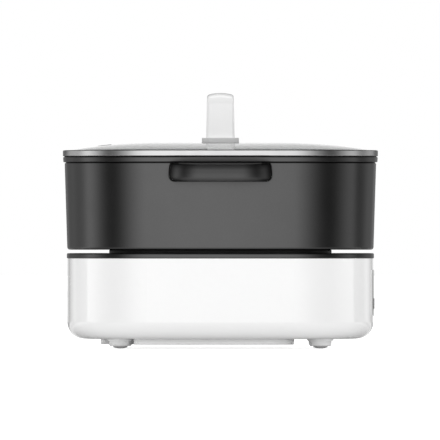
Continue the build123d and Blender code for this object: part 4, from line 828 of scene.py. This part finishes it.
def make_loop():
    """Upright strap loop of the lid: points between an outer and an inner round-cornered frame, by their share of
    the strap's depth, and across its width, which narrows upwards. The top is crowned across its width: lower by
    the square of the distance from its middle line."""
    foot, top, half = COLLAR_HIGH.z, HANDLE_HIGH.z, HANDLE_HIGH.x
    outer = loop_frame(half, foot - LOOP_SINK, top, LOOP_FOOT_CORNER, LOOP_CORNER)
    inner = loop_frame(half - LOOP_LEG, foot + LOOP_SOLE, top - LOOP_LEG, LOOP_GAP_CORNER, LOOP_GAP_CORNER)
    wide = LOOP_FOOT_WIDTH / 2
    section = rounded(
        (LOOP_LEG, 0, 0),
        (LOOP_LEG, wide, 2.2 * MM),
        (0, wide, 2.6 * MM),
        (0, -wide, 2.6 * MM),
        (LOOP_LEG, -wide, 2.2 * MM),
        (LOOP_LEG, 0, 0),
    )[:-1]
    section = lengthened(section, LOOP_RUN)
    depth, across = section[:, 0] / LOOP_LEG, section[:, 1]
    frames = outer[:, None] * (1 - depth[None, :, None]) + inner[:, None] * depth[None, :, None]
    rise = np.clip((frames[..., 1] - foot) / (top - foot), 0, 1)
    taper = 1 - rise * (1 - LOOP_TOP_WIDTH / LOOP_FOOT_WIDTH)
    y = across[None] * taper
    crown = LOOP_CROWN * (across / wide) ** 2 * (1 - depth)
    frames[..., 1] -= crown[None] * np.clip((rise - LOOP_CROWN_START) / (1 - LOOP_CROWN_START), 0, 1) ** 2
    points = np.stack([frames[..., 0], y, frames[..., 1]], -1)
    add_piece("lid_loop", points, grid_faces(*points.shape[:2], True, True), "lid", "handle_white", "lid_handle")


def make_collar():
    """Collar between handle and glass, let a little into both: a soft-edged profile carried round a rectangle with
    wide round corners, each a quarter of its outline's normals about its own centre."""
    low, high = COLLAR_LOW.z - COLLAR_SINK, COLLAR_HIGH.z
    angle = np.radians(np.concatenate([np.linspace(90 * k, 90 * k + 90, COLLAR_STEPS) for k in range(4)]))
    normal = np.stack([np.cos(angle), np.sin(angle)], -1)
    signs = np.repeat([(1, 1), (-1, 1), (-1, -1), (1, -1)], COLLAR_STEPS, axis=0)
    centre = signs * (COLLAR_HIGH.x - COLLAR_CORNER, COLLAR_HIGH.y - COLLAR_CORNER)
    profile = rounded(
        (-COLLAR_CORNER, low, 0),
        (0, low, 0.6 * MM),
        (0, high, 0.8 * MM),
        (-COLLAR_CORNER, high, 0),
        near=0.1 * MM,
    )
    plan = centre[None] + normal[None] * (COLLAR_CORNER + profile[:, 0])[:, None, None]
    points, faces = tube(raised(plan, profile[:, 1][:, None]))
    add_piece("collar", points, faces, "lid", "collar_grey", "handle_collar")


# ================= base =================
def make_cover():
    """Dark band and deck round the heating plate."""
    half, low, high = COVER_HIGH.y, SHELL_HIGH.z, COVER_HIGH.z
    profile = rounded(
        (COVER_OPENING_HALF, low + SEAM_AT, 0),
        (COVER_OPENING_HALF, low, 0.3 * MM),
        (half, low, 0.9 * MM),
        (half, high, 1.2 * MM),
        (COVER_OPENING_HALF, high, 0.4 * MM),
        (COVER_OPENING_HALF, low + SEAM_AT, 0),
        near=0.1 * MM,
    )
    carried_piece("cover_band", profile[:-1], True, "base", "dark_cover", "top_cover")


def make_spring():
    """Coil under the sensor's cap: a round wire carried up a helix. A ring of the wire lies in the plane of the
    helix's radius and of the normal to both radius and helix."""
    low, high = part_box("sensor_spring")
    radius, foot, top = high.x - SPRING_WIRE / 2, low.z + SPRING_WIRE / 2, high.z - SPRING_WIRE / 2
    turn = np.linspace(0, 2 * math.pi * SPRING_TURNS, COIL_STEPS * SPRING_TURNS + 1)[:, None, None]
    ring = np.linspace(0, 2 * math.pi, WIRE_STEPS, endpoint=False)[None, :, None]
    out = np.concatenate([np.cos(turn), np.sin(turn), 0 * turn], -1)
    rise = (top - foot) / turn.max()
    along = np.concatenate([-radius * np.sin(turn), radius * np.cos(turn), rise + 0 * turn], -1)
    side = np.cross(along / math.hypot(radius, rise), out)
    line = radius * out + np.concatenate([0 * turn, 0 * turn, foot + rise * turn], -1)
    points, faces = tube(line + (np.cos(ring) * out + np.sin(ring) * side) * SPRING_WIRE / 2)
    coil = add_piece("spring_coil", points, faces, "base", "spring_steel", "sensor_spring")
    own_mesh(coil)


def make_feet():
    """Four turned feet with a flange under the base and rounded lower edges, each with a domed rubber sole, which
    rises from its lowest point as a ball does."""
    foot = rounded(
        (0, SHELL_LOW.z, 0),
        (FOOT_FLANGE_R, SHELL_LOW.z, 0.3 * MM),
        (FOOT_FLANGE_R, SHELL_LOW.z - FOOT_FLANGE, 0.5 * MM),
        (FOOT_R, SHELL_LOW.z - FOOT_FLANGE, 0.4 * MM),
        (FOOT_R - FOOT_TAPER, FOOT_BOTTOM, 1.2 * MM),
        (PAD_R - PAD_LAP, FOOT_BOTTOM, 0.3 * MM),
        (PAD_R - PAD_LAP, PAD_SEAT, 0.2 * MM),
        (0, PAD_SEAT, 0),
        near=0.1 * MM,
    )
    radius = np.linspace(0, 1, SOLE_STEPS) ** 0.8
    bulge = (1 - np.sqrt(1 - PAD_BULGE * radius**2)) / (1 - math.sqrt(1 - PAD_BULGE))
    sole = np.stack([PAD_R * radius, (FOOT_BOTTOM - PAD_PROUD) * bulge], -1)
    sole = np.concatenate([sole, [(PAD_R, PAD_TOP), (0, PAD_TOP)]])
    feet = [f"foot_{end}_{side}" for end in ("front", "back") for side in ("left", "right")]
    pads = [name.replace("foot", "pad") for name in feet]
    low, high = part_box("foot_front_left")
    at = abs((low.x + high.x) / 2)
    places = [(x, y) for x in (-at, at) for y in (-at, at)]
    for title, profile, slot, nodes in (("feet", foot, "foot_white", feet), ("soles", sole, "pad_rubber", pads)):
        turned = [spun(profile, place) for place in places]
        points, faces = joined(*[(points, grid_faces(*points.shape[:2], False, True)) for points in turned])
        add_piece(title, points, faces, "base", slot, *nodes)


def make_skirt():
    """Low wall under the base, one bracket on each side of the bottom cover: a bar section carried out of the
    cover, round a corner, along the side and back round a corner."""
    root, y_low, y_high = TRAY_HIGH.x - SKIRT_LET_IN, TRAY_LOW.y - SKIRT_PAST, SKIRT_BACK
    path = rounded(
        (root, y_low, 0),
        (SKIRT_HALF, y_low, SKIRT_CORNER),
        (SKIRT_HALF, y_high, SKIRT_CORNER / 4),
        (root, y_high, 0),
        near=0.5 * MM,
        steps=SWEEP_STEPS,
    )
    low, high = TRAY_LOW.z - SKIRT_DROP, SHELL_LOW.z + SKIRT_TUCK
    section = rounded(
        (-SKIRT_WALL, high, 0),
        (-SKIRT_WALL, low, 0.6 * MM),
        (-SKIRT_LEAN, low, 1.0 * MM),
        (0, high, 0),
        near=0.1 * MM,
    )
    points, faces = tube(raised(swept(path, section), section[None, :, 1]))
    both = joined((points, faces), (points * (-1, 1, 1), faces))
    add_piece("base_skirt", *both, "base", "white_shell")


# ================= control panel =================
def on_panel(plan, proud):
    """Points (x, z) put on the bowed front, `proud` of the base's wall."""
    y = SIDE_RADIUS - BASE_HALF - np.sqrt((SIDE_RADIUS + proud) ** 2 - plan[..., 0] ** 2)
    return np.stack([plan[..., 0], y, plan[..., 1]], -1)


def strip(line, width, proud, closed=False, depth=2 * PRINT_PROUD):
    """Line of even width along (x, z) points, `depth` thick: four rows, two on its face and two behind it."""
    along = np.roll(line, -1, 0) - np.roll(line, 1, 0) if closed else np.gradient(line, axis=0)
    side = np.stack([-along[:, 1], along[:, 0]], -1) / np.linalg.norm(along, axis=1)[:, None] * width / 2
    face, back = proud + PRINT_PROUD, proud + PRINT_PROUD - depth
    sides = ((line + side, face), (line - side, face), (line - side, back), (line + side, back))
    points = np.stack([on_panel(plan, place) for plan, place in sides])
    if not closed:
        ends = points.mean(axis=0, keepdims=True).repeat(4, axis=0)
        points = np.concatenate([ends[:, :1], points, ends[:, -1:]], axis=1)
    return points, grid_faces(*points.shape[:2], True, closed)


def mark_bar(x0, z0, x1, z1, at):
    """Straight line between two points in mm about `at`."""
    return np.linspace((x0, z0), (x1, z1), 4) * MM + at


def mark_arc(radius, start, end, at):
    """Arc about `at`, in mm and degrees from the right, anticlockwise as seen from the front."""
    angle = np.radians(np.linspace(start, end, MARK_ARC_STEPS, endpoint=end - start < 360))
    return np.stack([np.cos(angle), np.sin(angle)], -1) * radius * MM + at


def round_frame(x0, z0, x1, z1, corner):
    """Closed outline of a rectangle with round corners, with a point at least every millimetre."""
    middles = ((x1 - corner, z1 - corner), (x0 + corner, z1 - corner))
    middles += ((x0 + corner, z0 + corner), (x1 - corner, z0 + corner))
    arcs = [mark_arc(corner / MM, 90 * k, 90 * k + 90 - CORNER_GAP, middle) for k, middle in enumerate(middles)]
    return lengthened(np.concatenate([*arcs, arcs[0][:1]]), 1 * MM)[:-1]


def key_middle(name):
    """Middle (x, z) of a key's cap."""
    low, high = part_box(name)
    return np.array([(low.x + high.x) / 2, KEY_CENTRE_Z])


def key_lines(name, at):
    """Lines of the mark on a key's cap, each with whether it is closed."""
    return {
        "key_power": [(mark_arc(2.2, 125, 415, at), False), (mark_bar(0, 0.6, 0, 2.9, at), False)],
        "key_minus": [(mark_bar(-2.2, 0, 2.2, 0, at), False)],
        "key_plus": [(mark_bar(-2.2, 0, 2.2, 0, at), False), (mark_bar(0, -2.2, 0, 2.2, at), False)],
        "key_mode": [(mark_bar(-2.1, z, 2.1, z, at), False) for z in (-1.5, 0, 1.5)],
        "key_timer": [
            (mark_arc(2.4, 0, 360, at), True),
            (mark_bar(0, 0, 0, 1.6, at), False),
            (mark_bar(0, 0, 1.2, 0, at), False),
        ],
    }[name]


def make_key_marks():
    """A plain mark printed on each key's cap."""
    for name in KEYS:
        lines = key_lines(name, key_middle(name))
        shapes = [strip(line, PRINT_WIDTH, PANEL_PROUD + KEY_PROUD, closed) for line, closed in lines]
        add_piece(name.replace("key", "mark"), *joined(*shapes), name, "handle_white", look="print_grey")


# segments of a digit: upper, upper right, lower right, lower, lower left, upper left and middle bar
SEGMENTS = (
    (-1, 2, 1, 2),
    (1, 2, 1, 0),
    (1, 0, 1, -2),
    (-1, -2, 1, -2),
    (-1, 0, -1, -2),
    (-1, 2, -1, 0),
    (-1, 0, 1, 0),
)
DIGITS = {"0": (0, 1, 2, 3, 4, 5), "1": (1, 2), "3": (0, 1, 2, 3, 6)}
TIME = (("1", -11.0), ("3", 3.0), ("0", 12.0))  # digits and their places in millimetres
COLON = (-4.6, -3.6)  # from and to in x, in millimetres
COLON_RISE = 1.7


def make_digits():
    """Lit time in the window: bars of the digits 1:30, each a little short of its neighbours."""
    shapes = []
    for digit, place in TIME:
        for index in DIGITS[digit]:
            x0, z0, x1, z1 = SEGMENTS[index]
            cut = DIGIT_GAP * np.sign([x1 - x0, z1 - z0])
            ends = (np.array([x0, z0]) + cut, np.array([x1, z1]) - cut)
            line = np.linspace(*ends, 3) * DIGIT_SCALE + (place * MM, WINDOW_CENTRE_Z)
            shapes.append(strip(line, DIGIT_WIDTH, PANEL_PROUD))
    for z in (-COLON_RISE, COLON_RISE):
        dot = mark_bar(COLON[0], z, COLON[1], z, (0, WINDOW_CENTRE_Z))
        shapes.append(strip(dot, DIGIT_WIDTH, PANEL_PROUD))
    add_piece("time_digits", *joined(*shapes), "base", "handle_white", look="digit_light")


def make_panel_print():
    """Fine printed outline round the window and a ring round each key."""
    low_z, high_z = WINDOW_CENTRE_Z - WINDOW_HALF_Z, WINDOW_CENTRE_Z + WINDOW_HALF_Z
    outline = round_frame(-WINDOW_HALF_X, low_z, WINDOW_HALF_X, high_z, WINDOW_CORNER)
    shapes = [strip(outline, WINDOW_LINE, PANEL_PROUD, True)]
    for name in KEYS:
        ring = mark_arc(KEY_RING, 0, 360, key_middle(name))
        shapes.append(strip(ring, KEY_RING_WIDTH, PANEL_PROUD, True))
    add_piece("panel_print", *joined(*shapes), "base", "handle_white", look="print_grey")


def make_panel_frame():
    """White edge round the panel, from behind the base's wall to the panel's face."""
    half_width = FRAME_WIDTH / 2
    low = (PANEL_LOW.x - half_width, PANEL_LOW.z - half_width)
    high = (PANEL_HIGH.x + half_width, PANEL_HIGH.z + half_width)
    outline = round_frame(*low, *high, PANEL_CORNER + half_width)
    points, faces = strip(outline, FRAME_WIDTH, PANEL_PROUD, True, PANEL_PROUD + FRAME_LET_IN)
    add_piece("panel_frame", points, faces, "base", "white_shell")


bpy.context.scene.view_settings.view_transform = "Standard"
make_camera()
make_world()
make_floor()
make_tent()
make_strips()
dress_frame()
make_pot()
make_glass()
make_rim()
make_seal()
make_cover()
make_spring()
make_feet()
make_skirt()
make_grip(1)
make_grip(-1)
make_loop()
make_collar()
make_key_marks()
make_digits()
make_panel_print()
make_panel_frame()
